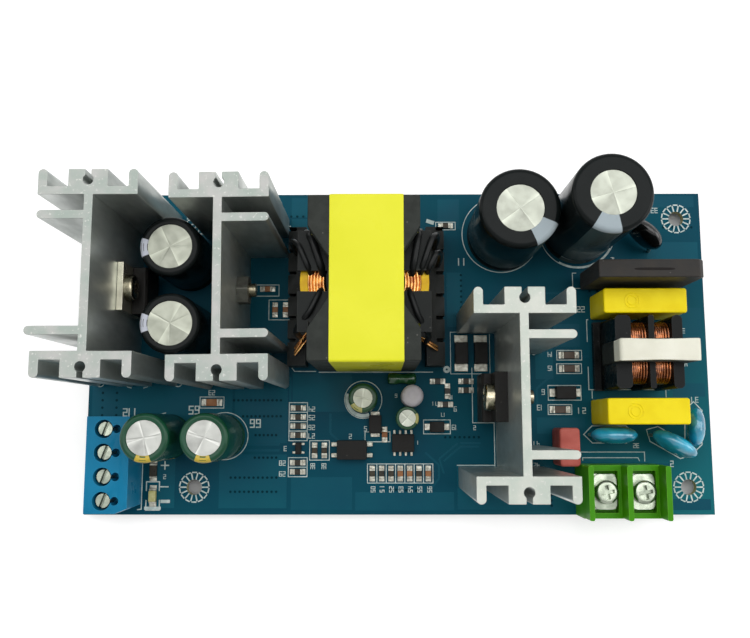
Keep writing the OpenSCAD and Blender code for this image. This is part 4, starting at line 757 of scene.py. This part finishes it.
def capacitor(name, bare, rays, stripe_from, metal, skin):
    """One capacitor in the place of its two CAD nodes. The can's top dips along rays from its middle, by a
    depth times the bell curve of the distance to the ray. The sleeve is a closed profile round the can."""
    low, high, middle = box_mm(name + "_sleeve")
    at = (middle[0], middle[1], low[2])
    radius, height = (high[0] - low[0]) / 2, high[2] - low[2]
    skin_t, bend, bead, bead_z = 0.25, 0.11 * radius, 0.45, 2.2
    inner, inside_top = radius - skin_t, height - skin_t
    # The can: bottom, wall with its bead, rounded edge, then the scored top.
    flat = np.linspace(inner - bend, 0, 26)[1:]
    profile = np.concatenate([
        [(0, 0.05), (inner - 0.3, 0.05), (inner, 0.4), (inner, bead_z - 2 * bead),
         (inner - 0.7 * bead, bead_z), (inner, bead_z + 2 * bead)],
        quarter(inner - bend, inside_top - bend, bend), np.stack([flat, inside_top + 0 * flat], -1),
    ])
    can = turned(profile, at, 200, rays[0])
    out_x, out_y = can[..., 0] - at[0], can[..., 1] - at[1]
    dip = 0 * out_x
    for ray in np.radians(rays):
        ahead = out_x * np.cos(ray) + out_y * np.sin(ray)
        aside = out_y * np.cos(ray) - out_x * np.sin(ray)
        dip = np.maximum(dip, np.exp(-(aside / 0.16) ** 2) * (ahead > -0.05) * (ahead < radius * bare * 0.92))
    can[..., 2] -= 0.04 * dip * (can[..., 2] > at[2] + inside_top - 0.01)
    built(name + "_body", gridded([can]), metal, (name + "_can",), 50)
    # The sleeve: up the outside, over the edge to the bare top, and back down against the can.
    lip = radius * bare
    outside = np.concatenate([
        [(radius, 0.02), (radius, bead_z - 2 * bead), (radius - 0.75 * bead, bead_z),
         (radius, bead_z + 2 * bead)],
        quarter(radius - bend - skin_t, height - bend - skin_t, bend + skin_t),
        [(lip + 0.5, height - 0.03), (lip + 0.12, height - 0.05), (lip, inside_top + 0.03)],
        [(lip + 0.1, inside_top), (inner - bend, inside_top), (inner, inside_top - bend), (inner, 0.02),
         (radius, 0.02)],
    ])
    shell = turned(outside, at, 128, stripe_from)
    built(name + "_skin", gridded([shell]), skin, (name + "_sleeve",), 40)


bulk_metal = can_paint("can of the bulk capacitors", (0.28, 0.295, 0.25), (0.24, 0.25, 0.21))
output_metal = can_paint("can of the output capacitors", (0.25, 0.26, 0.215), (0.21, 0.22, 0.18))
filter_metal = can_paint("can of the filter capacitors", (0.32, 0.325, 0.305), (0.26, 0.265, 0.25))
BLACK, BLACK_TOO, GREEN_MARK = (0.004, 0.006, 0.006), (0.007, 0.009, 0.009), (0.04, 0.1, 0.03)
# The bulk sleeves' stripe is painted darker on the upright wall, as painted shade.
bulk_skin = sleeve_paint("bulk capacitor sleeve", BLACK, BLACK_TOO, (0.34, 0.4, 0.43), 0.12,
                         side=(0.06, 0.085, 0.085))
output_skin = sleeve_paint("output capacitor sleeve", BLACK, BLACK_TOO, (0.58, 0.6, 0.68), 0.11,
                           ((0.02, 0.02, 0.02), 7.0))
filter_skin = sleeve_paint("filter capacitor sleeve", (0.006, 0.052, 0.024), (0.009, 0.068, 0.034),
                           (0.52, 0.38, 0.05), 0.115, (GREEN_MARK, 6.0), shine=0.2)
small_skin = sleeve_paint("small capacitor sleeve", (0.012, 0.05, 0.018), (0.018, 0.07, 0.028),
                          (0.38, 0.36, 0.12), 0.16, (GREEN_MARK, 4.0), shine=0.2)
# Each row: name, bare share of the top, turns of the scores, turn of the stripe, can, sleeve.
for name, bare, rays, stripe_from, metal, skin, skin_slot in (
    ("bulk_cap_left", 0.58, (125, 35, 215, 310), -66, bulk_metal, bulk_skin, "black_sleeve"),
    ("bulk_cap_right", 0.56, (105, 15, 195, 285), -122, bulk_metal, bulk_skin, "black_sleeve"),
    ("output_cap_back", 0.73, (115, 240, 0), 163, output_metal, output_skin, "black_sleeve"),
    ("output_cap_front", 0.73, (150, 25, 270), 160, output_metal, output_skin, "black_sleeve"),
    ("filter_cap_left", 0.71, (107, 10, 187, 277), -112, filter_metal, filter_skin, "green_sleeve"),
    ("filter_cap_right", 0.71, (62, -17, 163, 243), -112, filter_metal, filter_skin, "green_sleeve"),
    ("supply_cap", 0.66, (80, 170, 260, 350), -150, output_metal, small_skin, "green_sleeve"),
    ("feedback_cap", 0.72, (45, 135, 225, 315), -30, bulk_metal, small_skin, "green_sleeve"),
):
    capacitor(name, bare, rays, stripe_from, metal, skin)

# ---- Small inductors ----
# The upright one is a drum core wound with fine wire, in a grey shrunk sleeve closed over its top.
# The lying one is a green lacquered rod, thicker at its two ends, in which the leads are set.
low, high, middle = box_mm("radial_inductor")
radius, height = (high[0] - low[0]) / 2, high[2] - low[2]
profile = np.concatenate([
    [(0, 0), (radius - 0.25, 0), (radius, 0.25), (radius, 0.5 * height), (radius * 0.985, 0.72 * height)],
    quarter(radius - 1.1, height - 1.1, 1.1, steps=10),
    [(radius * 0.38, height - 0.03), (radius * 0.3, height - 0.16), (radius * 0.12, height - 0.2),
     (0, height - 0.2)],
])
grey_sleeve = finish("grey shrunk sleeve", (0.35, 0.33, 0.35), (0.43, 0.41, 0.43), 0.5, scale=400.0,
                     depth=0.03 * MM, shine=0.3)
drum = turned(profile, (middle[0], middle[1], low[2]), 72)
built("upright_inductor", gridded([drum]), grey_sleeve, ("radial_inductor",))

low, high, middle = box_mm("axial_inductor")
share, turn = np.linspace(0, 1, 49)[:, None], np.linspace(0, 2 * np.pi, 41)
radius = (high[2] - low[2]) / 2 * (1 - 0.16 * np.exp(-((share - 0.5) / 0.16) ** 4))
radius = radius * np.clip(1 - np.abs(2 * share - 1) ** 14, 0, 1) ** 0.5
rod = np.stack([
    low[0] + (high[0] - low[0]) * share + 0 * turn,
    middle[1] + radius * np.cos(turn),
    middle[2] + radius * np.sin(turn),
], -1)
green_lacquer = finish("green lacquer", (0.008, 0.05, 0.014), (0.014, 0.08, 0.024), 0.2, scale=350.0,
                       depth=0.04 * MM, grain_scale=900.0)
built("lying_inductor", gridded([rod]), green_lacquer, ("axial_inductor",))

# ---- Transformer ----
# Two waisted ferrite halves meet inside a black moulded bobbin wound with enamelled copper and yellow film.
# A broad yellow polyester tape goes once round the core and holds the halves together.
ferrite = finish("ferrite", (0.022, 0.025, 0.022), (0.036, 0.04, 0.036), 0.55, scale=380.0, depth=0.03 * MM,
                 dust=(0.11, 0.11, 0.1), shine=0.08)
softened("transformer_core", ferrite, 0.25)
# Painted highlight: the edges are painted a little paler, as glints on the moulding.
moulded = finish("moulded bobbin", (0.006, 0.008, 0.0075), (0.012, 0.014, 0.013), 0.42, scale=300.0,
                 depth=0.03 * MM, dust=(0.05, 0.05, 0.045), worn=(0.035, 0.037, 0.035), shine=0.1)
softened("transformer_bobbin", moulded, 0.16)


def rounded_loop(width, height, corner):
    """Points once round a rectangle with round corners: an arc in each quadrant, joined by straight lines."""
    quadrant = np.repeat(np.arange(4), 7)
    turn = (quadrant + np.tile(np.linspace(0, 1, 7), 4)) * np.pi / 2
    middle = (quadrant + 0.5) * np.pi / 2
    a = np.sign(np.cos(middle)) * (width / 2 - corner) + corner * np.cos(turn)
    b = np.sign(np.sin(middle)) * (height / 2 - corner) + corner * np.sin(turn)
    loop = np.stack([a, b], -1)
    return np.concatenate([loop, loop[:1]])


def filled_in(line, step):
    """The same line with more points: each is found by its distance along it, at an even spacing."""
    gone = np.concatenate([[0], np.cumsum(np.linalg.norm(np.diff(line, axis=0), axis=1))])
    at = np.union1d(gone, np.linspace(0, gone[-1], int(gone[-1] / step) + 2))
    return np.stack([np.interp(at, gone, line[:, i]) for i in range(line.shape[1])], -1)


tape_low, tape_high, middle = box_mm("transformer_core_tape")
wide, long, tall = tape_high - tape_low
film = 0.24
outer = filled_in(rounded_loop(long, tall, 0.55), 0.8)
inner = outer * ((long - 2 * film) / long, (tall - 2 * film) / tall)
# Across the tape: its place from edge to edge, and how far it lifts at each. The overlap is one film thicker.
across = np.array([-0.5, -0.497, -0.47, -0.3, -0.1, 0.1, 0.3, 0.47, 0.497, 0.5]) * wide
lift = np.array([0.35, 0.8, 1, 1, 1, 1, 1, 1, 0.8, 0.35])
gone = np.linspace(0, 1, len(outer))[:, None]
ply = np.where((gone > 0.02) & (gone < 0.37), 1.0, 0.8) * lift
skin = inner[:, None] + (outer - inner)[:, None] * ply[..., None]
skin = np.concatenate([inner[:, None], skin, inner[:, None], inner[:, None]], 1)
across = np.concatenate([across[:1], across, across[-1:], across[:1]])
band = middle + np.stack([across + 0 * skin[..., 0], skin[..., 0], skin[..., 1]], -1)
yellow_film = finish("yellow polyester tape", (0.78, 0.77, 0.03), (0.74, 0.735, 0.025), 0.3, scale=90.0,
                     grain_scale=160.0, depth=0.12 * MM, shine=0.14)
built("core_tape", gridded([band]), yellow_film, ("transformer_core_tape",))

amber_film = finish("film over the winding", (0.78, 0.52, 0.008), (0.6, 0.34, 0.006), 0.25, scale=400.0,
                    shine=0.12)
softened("transformer_winding_tape", amber_film, 0.1)


def tube(line, radius, sides=12, closed=False, square_to=(0, 0, 1)):
    """A round wire along a line: a circle square to the line at each of its points. An open wire's ends close
    to a point. The circle is steadied by a direction that the line never runs along."""
    ahead = np.roll(line[:-1], -1, 0) - np.roll(line[:-1], 1, 0) if closed else np.gradient(line, axis=0)
    ahead = np.concatenate([ahead, ahead[:1]]) if closed else ahead
    ahead /= np.linalg.norm(ahead, axis=1)[:, None]
    aside = np.cross(ahead, square_to)
    aside /= np.linalg.norm(aside, axis=1)[:, None]
    up = np.cross(aside, ahead)
    turn = np.linspace(0, 2 * np.pi, sides + 1)[:, None]
    rings = line[:, None] + radius * (np.cos(turn) * aside[:, None] + np.sin(turn) * up[:, None])
    if closed:
        return rings
    caps = [np.repeat(end[None, None], sides + 1, 1) for end in (line[0], line[-1])]
    return np.concatenate([caps[0], rings, caps[1]])


# Three loose ends of olive tape stick up over the cheeks.
low, high, middle = box_mm("transformer_winding_tape")
coil_low, coil_top = low[2], high[2] + 0.5
bob_low, _, bob = box_mm("transformer_bobbin")
flags = []
way, side = np.meshgrid(np.linspace(0, 1, 12), np.linspace(-0.5, 0.5, 7), indexing="ij")
for x, y, z, length, turn in (
    (10.1, 10.3, 1.9, 1.9, 100), (-9.8, 9.8, 1.9, 1.9, 70), (11, -8.9, 0.2, 1.5, 20),
):
    flat_x, flat_y = swung(length * (way - 0.5), 1.1 * side * (1 - 0.3 * way), turn)
    curl = coil_top + z + 0.5 * np.sin(2.4 * way) + 0.2 * side
    top = np.stack([bob[0] + x + flat_x, bob[1] + y + flat_y, curl], -1)
    rim = np.concatenate([top[:, :1], top, top[:, -1:]], 1)
    flags.append(np.concatenate([rim, (rim - (0, 0, 0.12))[::-1], rim[:1]]))
olive_tape = finish("olive tape ends", (0.26, 0.26, 0.04), (0.17, 0.17, 0.03), 0.35, scale=500.0, shine=0.2)
built("tape_ends", gridded(flags), olive_tape)

# The winding: a drum whose top and side are scalloped, one scallop for each strand that lies side by side.
coil_radius, hub, strand = 11.3, 7.9, 0.62
r = np.linspace(coil_radius, hub, 90)
layer = np.stack([r, coil_top - strand / 2 * (1 - np.abs(np.sin(np.pi * (r - hub) / strand)) ** 0.7)], -1)
side = np.linspace(coil_low, coil_top - strand, 160)
wall = np.stack([coil_radius - 0.12 * (1 - np.abs(np.sin(np.pi * side / strand))), side], -1)
foot = [(hub, coil_low)]
drum = turned(np.concatenate([foot, wall, layer, foot]), (middle[0], middle[1], 0))
# Loose strands run from the front corners of the cheek to the pins, three on the left and two on the right.
drop = np.linspace(0, 1, 15)[:, None]
strands = []
for side, dx, dy in ((-1, 12.4, -7.9), (-1, 12.9, -8.7), (-1, 12.1, -9.3), (1, 11.6, -9.4), (1, 11.9, -10.1)):
    start = np.array([bob[0] + side * dx, bob[1] + dy, bob_low[2] + 7.9])
    end = np.array([bob[0] + side * 15.6, bob[1] + dy - 3 + side * 0.9, bob_low[2] + 7.2])
    strands.append(tube(start + (end - start) * drop + (0, 0, 0.7) * np.sin(np.pi * drop), 0.26))
copper = finish("enamelled copper", (0.8, 0.46, 0.15), (0.36, 0.12, 0.03), 0.2, scale=700.0, Metallic=0.8,
                Coat_Weight=0.3)
built("copper_winding", gridded([drum] + strands), copper, ("transformer_winding",))

# Black sleeved leads lie over the cheek's back corners, from the winding out to the pins.
cheek_top = coil_top + 1.3
leads = []
# Each row: where a lead leaves the winding, crosses the cheek and goes down, and its radius.
for x1, y1, x2, y2, x3, y3, radius in (
    (9.5, 1.6, 10.7, 8.6, 11.6, 11.6, 0.72), (11.2, 1.8, 13.4, 8.4, 15.2, 10.6, 0.62),
    (12.6, 1.9, 14.2, 5.4, 15.9, 6.6, 0.55), (-8.2, 1.6, -10.4, 8.2, -12.4, 11.4, 0.78),
    (-10.8, 1.8, -13, 7, -15.4, 9.4, 0.6), (-8.6, -1.6, -10.9, -6.6, -14.4, -9.4, 0.62),
    (8.8, -1.6, 10.6, -7.2, 13.2, -10.4, 0.62),
):
    knots = np.array([
        (x1, y1, coil_top - 0.4), (0.8 * x1 + 0.2 * x2, 0.8 * y1 + 0.2 * y2, cheek_top + radius - 0.2),
        (x2, y2, cheek_top + radius), ((x2 + x3) / 2, (y2 + y3) / 2, cheek_top - 1.2),
        (x3, y3, cheek_top - 7), (x3, y3, bob_low[2] + 7.2),
    ]) + (bob[0], bob[1], 0)
    share, smooth = np.linspace(0, 1, len(knots)), np.linspace(0, 1, 40)
    line = np.stack([np.interp(smooth, share, knots[:, i]) for i in range(3)], -1)
    for _ in range(6):
        line[1:-1] = (line[:-2] + 2 * line[1:-1] + line[2:]) / 4
    leads.append(tube(line, radius, 14, square_to=(0.6, -0.5, 0.1)))
lead_sleeve = finish("black lead sleeve", (0.005, 0.006, 0.006), (0.01, 0.011, 0.011), 0.36, scale=600.0,
                     shine=0.14)
built("sleeved_leads", gridded(leads), lead_sleeve)

# ---- Mains choke ----
# A ferrite frame through a black bobbin. Two windings of enamelled copper sit side by side on the lower beam.
# A band of cream glass-cloth tape lies over the upper beam and is folded down at both ends.
softened("choke_core", ferrite, 0.25)
# Painted highlight: the edges are painted a little paler, as glints on the moulding.
glossy_bobbin = finish("choke bobbin", (0.003, 0.004, 0.004), (0.006, 0.007, 0.007), 0.28, scale=300.0,
                       depth=0.03 * MM, dust=(0.03, 0.03, 0.03), worn=(0.022, 0.024, 0.024), shine=0.08)
softened("choke_bobbin", glossy_bobbin, 0.35, 3)

low, high, coil = box_mm("choke_windings")
(coil_l, coil_w, coil_h), divider, turns = high - low, 1.2, 7
span = (coil_l - divider) / 2
wire_r = span / turns / 2
loops = []
for side in (-1, 1):
    start = coil[0] + side * (divider + span) / 2 - span / 2
    for i in range(turns):
        loop = filled_in(rounded_loop(coil_w - 2 * wire_r, coil_h - 2 * wire_r, 2.8), 1.0)
        slant = 0.35 * wire_r * np.sin(np.linspace(0, 2 * np.pi, len(loop)) + i)
        along = start + wire_r * (2 * i + 1) + slant
        line = np.stack([along, coil[1] + loop[:, 0], coil[2] + loop[:, 1]], -1)
        loops.append(tube(line, wire_r * 1.04, 10, closed=True, square_to=(1, 0, 0)))
    # Two plain layers close the gaps between the turns.
    for inset in (0.75, 2.0):
        loop = rounded_loop(coil_w - 2 * inset, coil_h - 2 * inset, 2.4)
        edge = np.array([start, start + span, start + span, start])
        ring = np.stack([loop, loop, loop * 0.8, loop * 0.8], 1)
        layer = np.stack([edge + 0 * ring[..., 0], coil[1] + ring[..., 0], coil[2] + ring[..., 1]], -1)
        loops.append(np.concatenate([layer, layer[:, :1]], 1))
choke_copper = finish("choke copper", (0.36, 0.12, 0.035), (0.09, 0.026, 0.01), 0.24, scale=900.0,
                      Metallic=0.75, Coat_Weight=0.3)
built("choke_wire", gridded(loops), choke_copper, ("choke_windings",))

low, high, middle = box_mm("choke_tape")
film, wide, reach = 0.3, high[1] - low[1], (high[0] - low[0]) / 2
bend = quarter(-reach + 0.7, high[2] - 0.7, 0.7, 180, 90, 6)
outer = np.concatenate([[(-reach, low[2]), (-reach, low[2] + 0.8)], bend, [(0, high[2] - 0.02)]])
outer = filled_in(np.concatenate([outer, outer[-2::-1] * (-1, 1)]), 0.5)
ahead = np.gradient(outer, axis=0)
ahead /= np.linalg.norm(ahead, axis=1)[:, None]
inner = outer + film * np.stack([ahead[:, 1], -ahead[:, 0]], -1)
gone = np.linspace(0, 1, len(outer))
waist = wide / 2 * (1 - 0.035 * np.cos(4 * np.pi * gone) - 0.03)
side = np.array([-1, -0.96, -0.5, 0, 0.5, 0.96, 1])
crown = np.array([0.25, 0.92, 1, 1, 1, 0.92, 0.25])
skin = inner[:, None] + (outer - inner)[:, None] * crown[:, None]
skin = np.concatenate([inner[:, None], skin, inner[:, None], inner[:, None]], 1)
side = np.concatenate([[-1], side, [1], [-1]])
band = np.stack([middle[0] + skin[..., 0], middle[1] + waist[:, None] * side, skin[..., 1]], -1)
caps = [0 * end + end.mean(1, keepdims=True) for end in (band[:1], band[-1:])]
band = np.concatenate([caps[0], band, caps[1]])
cream_tape = finish("cream cloth tape", (0.86, 0.85, 0.74), (0.76, 0.75, 0.63), 0.65, scale=160.0,
                    depth=0.03 * MM, shine=0.2)
built("choke_band", gridded([band]), cream_tape, ("choke_tape",))

# ---- Suppression capacitors ----
# Two film capacitors across the mains, in moulded yellow cases filled with resin from below.
# Each case has rounded edges and a plain ring pressed into its top.
yellow_case = finish("yellow case", (0.88, 0.71, 0.004), (0.81, 0.63, 0.003), 0.36, scale=220.0,
                     depth=0.015 * MM, shine=0.12)
for name in ("x_capacitor_front", "x_capacitor_back"):
    softened(name, yellow_case, 0.35, 3)
    low, high, middle = box_mm(name)
    at = (low[0] * 0.66 + high[0] * 0.34, middle[1], high[2])
    rings = []
    for radius in (1.7, 1.1):
        inset = radius - np.array([0, 0, 0.06, 0.2, 0.26, 0.26, 0])
        bump = np.stack([inset, (-0.05, 0.05, 0.09, 0.09, 0.05, -0.05, -0.05)], -1)
        rings.append(turned(bump, at, 48))
    built(name + "_mark", gridded(rings), yellow_case)

# ---- Safety capacitors and thermistor ----
# Ceramic discs with two leads, dipped in lacquer. Three are blue safety capacitors and one is the black
# thermistor. The lacquer is thick in the middle, thin at the rim, and runs a little way down the leads.


def dipped_disc(name, paint, turn, lean, radius, half_t, pitch):
    """A dipped disc: at a share s of its radius its half thickness is the full one times the root of 1 - s to
    the power 2.4, and the rim bulges by a small part round each lead. The legs taper down to the leads."""
    middle = box_mm(name)[2] - (0, 0, board_top / MM)
    disc_z = middle[2] / math.cos(math.radians(lean))
    share, angle = np.sin(np.linspace(0, 1, 20) * np.pi / 2)[:, None], np.linspace(0, 2 * np.pi, 97)
    swell = sum(np.exp(-((angle - np.pi * lead) / 0.16) ** 2) for lead in (1.27, 1.73))
    across = radius * share * 0.93 * (1 + 0.06 * swell)
    thick = half_t * np.sqrt(np.clip(1 - share ** 2.4, 0, 1)) + 0 * angle
    x, z = across * np.cos(angle), across * np.sin(angle) + disc_z
    grids = [np.stack([x, thick, z], -1), np.stack([x, -thick, z], -1)]
    way = np.linspace(0, 1, 16)[:, None]
    slim = np.concatenate([[1], 1 - 0.52 * way[:, 0] ** 0.7, [0.5]])[:, None, None]
    for side in (-1, 1):
        top, base = np.array([(side * 0.36 * radius, 0, disc_z - 0.8 * radius), (side * pitch / 2, 0, 0.6)])
        line = top + (base - top) * way
        core = np.concatenate([line[:1], line, line[-1:]])[:, None]
        grids.append(core + (tube(line, 0.5, square_to=(0, 1, 0)) - core) * slim)
    # The disc leans about its foot, then turns, and its middle comes to the CAD node's middle.
    leaning = [swung(grid[..., 1], grid[..., 2], -lean) for grid in grids]
    foot_x, foot_y = swung(0, -disc_z * math.sin(math.radians(lean)), turn)
    for grid, (y, z) in zip(grids, leaning):
        x, y = swung(grid[..., 0], y, turn)
        grid[...] = np.stack([middle[0] + foot_x + x, middle[1] + foot_y + y, z + board_top / MM], -1)
    built(name + "_dipped", gridded(grids), paint, (name,), 60)


# The lighter of the two blue shades, in patches, is partly painted highlight on the lumps of lacquer and
# partly its own uneven tone.
blue_lacquer = finish("blue lacquer", (0.004, 0.15, 0.25), (0.02, 0.4, 0.6), 0.08, 0.04, scale=210.0,
                      grain_scale=260.0, depth=0.45 * MM, shine=0.9)
black_lacquer = finish("black lacquer", (0.003, 0.004, 0.004), (0.006, 0.007, 0.007), 0.12, 0.04, scale=260.0,
                       grain_scale=260.0, depth=0.3 * MM)
dipped_disc("y_capacitor_left", blue_lacquer, 0, 0, 5.3, 1.9, 7.5)
dipped_disc("y_capacitor_middle", blue_lacquer, -30, 0, 5.3, 1.9, 7.5)
dipped_disc("y_capacitor_right", blue_lacquer, 87, 15, 4.4, 1.8, 5)
dipped_disc("thermistor_disc", black_lacquer, -44, 0, 4.7, 2, 7.5)

# ---- Bridge rectifier ----
# Four diodes in one flat block of dark brown-black epoxy, one corner cut off to mark its plus end.
# It stands on four round tinned leads.
# Painted highlight: the edges are painted paler, as glints.
brown_epoxy = finish("brown epoxy", (0.03, 0.029, 0.028), (0.042, 0.038, 0.034), 0.45, scale=200.0,
                     depth=0.02 * MM, dust=(0.08, 0.075, 0.07), worn=(0.07, 0.066, 0.06), shine=0.08)
softened("bridge_rectifier", brown_epoxy, 0.3, 3)
# A shallow line from the mould runs along its top, as a thin strip painted dark: painted shade in the line.
low, high, middle = box_mm("bridge_rectifier")
turn = np.linspace(0, 2 * np.pi, 49)
rise = np.array([(1, -0.05), (1, 0.012), (0.86, 0.03), (0.5, 0.03), (0, 0.03)])
gate = np.stack([
    middle[0] + 0.5 + 4.2 * rise[:, :1] * np.sign(np.cos(turn)) * np.abs(np.cos(turn)) ** 0.4,
    middle[1] - 0.2 + 0.28 * rise[:, :1] * np.sign(np.sin(turn)) * np.abs(np.sin(turn)) ** 0.8,
    high[2] + rise[:, 1:] + 0 * turn,
], -1)
mould_line_shade_paint = finish("gate mark", (0.014, 0.012, 0.012), (0.02, 0.018, 0.017), 0.6, shine=0.05)
built("bridge_gate_mark", gridded([gate]), mould_line_shade_paint)

# ---- Fuse ----
# A time-lag fuse in a moulded red box that stands on two short leads.
# The mould gives it softly rounded edges.
red_case = finish("red case", (0.47, 0.115, 0.09), (0.35, 0.07, 0.055), 0.4, scale=230.0, depth=0.02 * MM,
                  shine=0.12)
softened("fuse_body", red_case, 0.45, 3)

# ---- Output terminal block ----
# Four rising-cage terminals in a moulded blue housing: a screw in each round well, a test hole beside it,
# and a square wire entry in the left face. Screws and cages are plated.
# Painted highlight: the edges are painted a lighter blue, as glints.
blue_housing = finish("blue housing", (0.005, 0.16, 0.3), (0.008, 0.19, 0.35), 0.34, scale=150.0,
                      depth=0.015 * MM, worn=(0.03, 0.24, 0.42), shine=0.1)
softened("output_block_housing", blue_housing, 0.2)
grey_plating = finish("grey plating", (0.34, 0.37, 0.3), (0.2, 0.23, 0.19), 0.3, scale=600.0, Metallic=0.9)
softened("output_block_screws", grey_plating, 0.1)
softened("output_block_cages", grey_plating, 0.06)

# ---- Input terminal block ----
# A two-way barrier block in grass-green plastic: domed cross-head screws with square washers, held in
# pockets between three dividers with round edges.
# Painted highlight: the edges are painted a lighter green, as glints.
green_housing = finish("green housing", (0.055, 0.28, 0.002), (0.046, 0.235, 0.002), 0.36, scale=170.0,
                       depth=0.015 * MM, worn=(0.14, 0.42, 0.03), shine=0.12)
nickel = finish("nickel plating", (0.36, 0.4, 0.32), (0.2, 0.23, 0.18), 0.28, scale=500.0, Metallic=0.95)
softened("input_block_housing", green_housing, 0.26, 3)
softened("input_block_screws", nickel, 0.12)
softened("input_block_washers", nickel, 0.08)

# ---- Small parts ----
# Chip resistors, chip capacitors and moulded chips are soldered flat to the board by their bright ends.
# A small clear lamp beside the output block shows that the supply is on.
tan_ceramic = finish("tan ceramic", (0.34, 0.15, 0.055), (0.24, 0.095, 0.035), 0.4, scale=600.0, shine=0.2)
tree, shader = inside(tan_ceramic)
mains_side = maths(tree, "GREATER_THAN", axes(tree, coordinates(tree))[0], 10 * MM)
blend_in(tree, shader, mains_side, (0.075, 0.05, 0.035))
chip_glaze = finish("chip glaze", (0.02, 0.018, 0.013), (0.05, 0.04, 0.025), 0.35, scale=700.0, shine=0.15)
solder = finish("bright solder", (0.42, 0.42, 0.36), (0.24, 0.23, 0.19), 0.4, scale=1400.0, depth=0.02 * MM,
                grain_scale=1500.0, Metallic=0.5)
lamp_resin = finish("lamp resin", (0.42, 0.4, 0.14), (0.55, 0.52, 0.26), 0.2, scale=900.0, shine=0.2)
softened("control_chips", epoxy, 0.12)
softened("chip_resistors", chip_glaze, 0.07)
softened("chip_capacitors", tan_ceramic, 0.09)
softened("chip_metal", solder, 0.07)
softened("indicator_lamp", lamp_resin, 0.2, 3)

# ---- Leads and solder joints ----
# The tinned leads of the standing parts end at the top of the board. Each goes on underneath as a clipped
# tip in a small cone of solder.
softened("component_leads", lead_metal, 0)
softened("solder_joints", solder, 0)
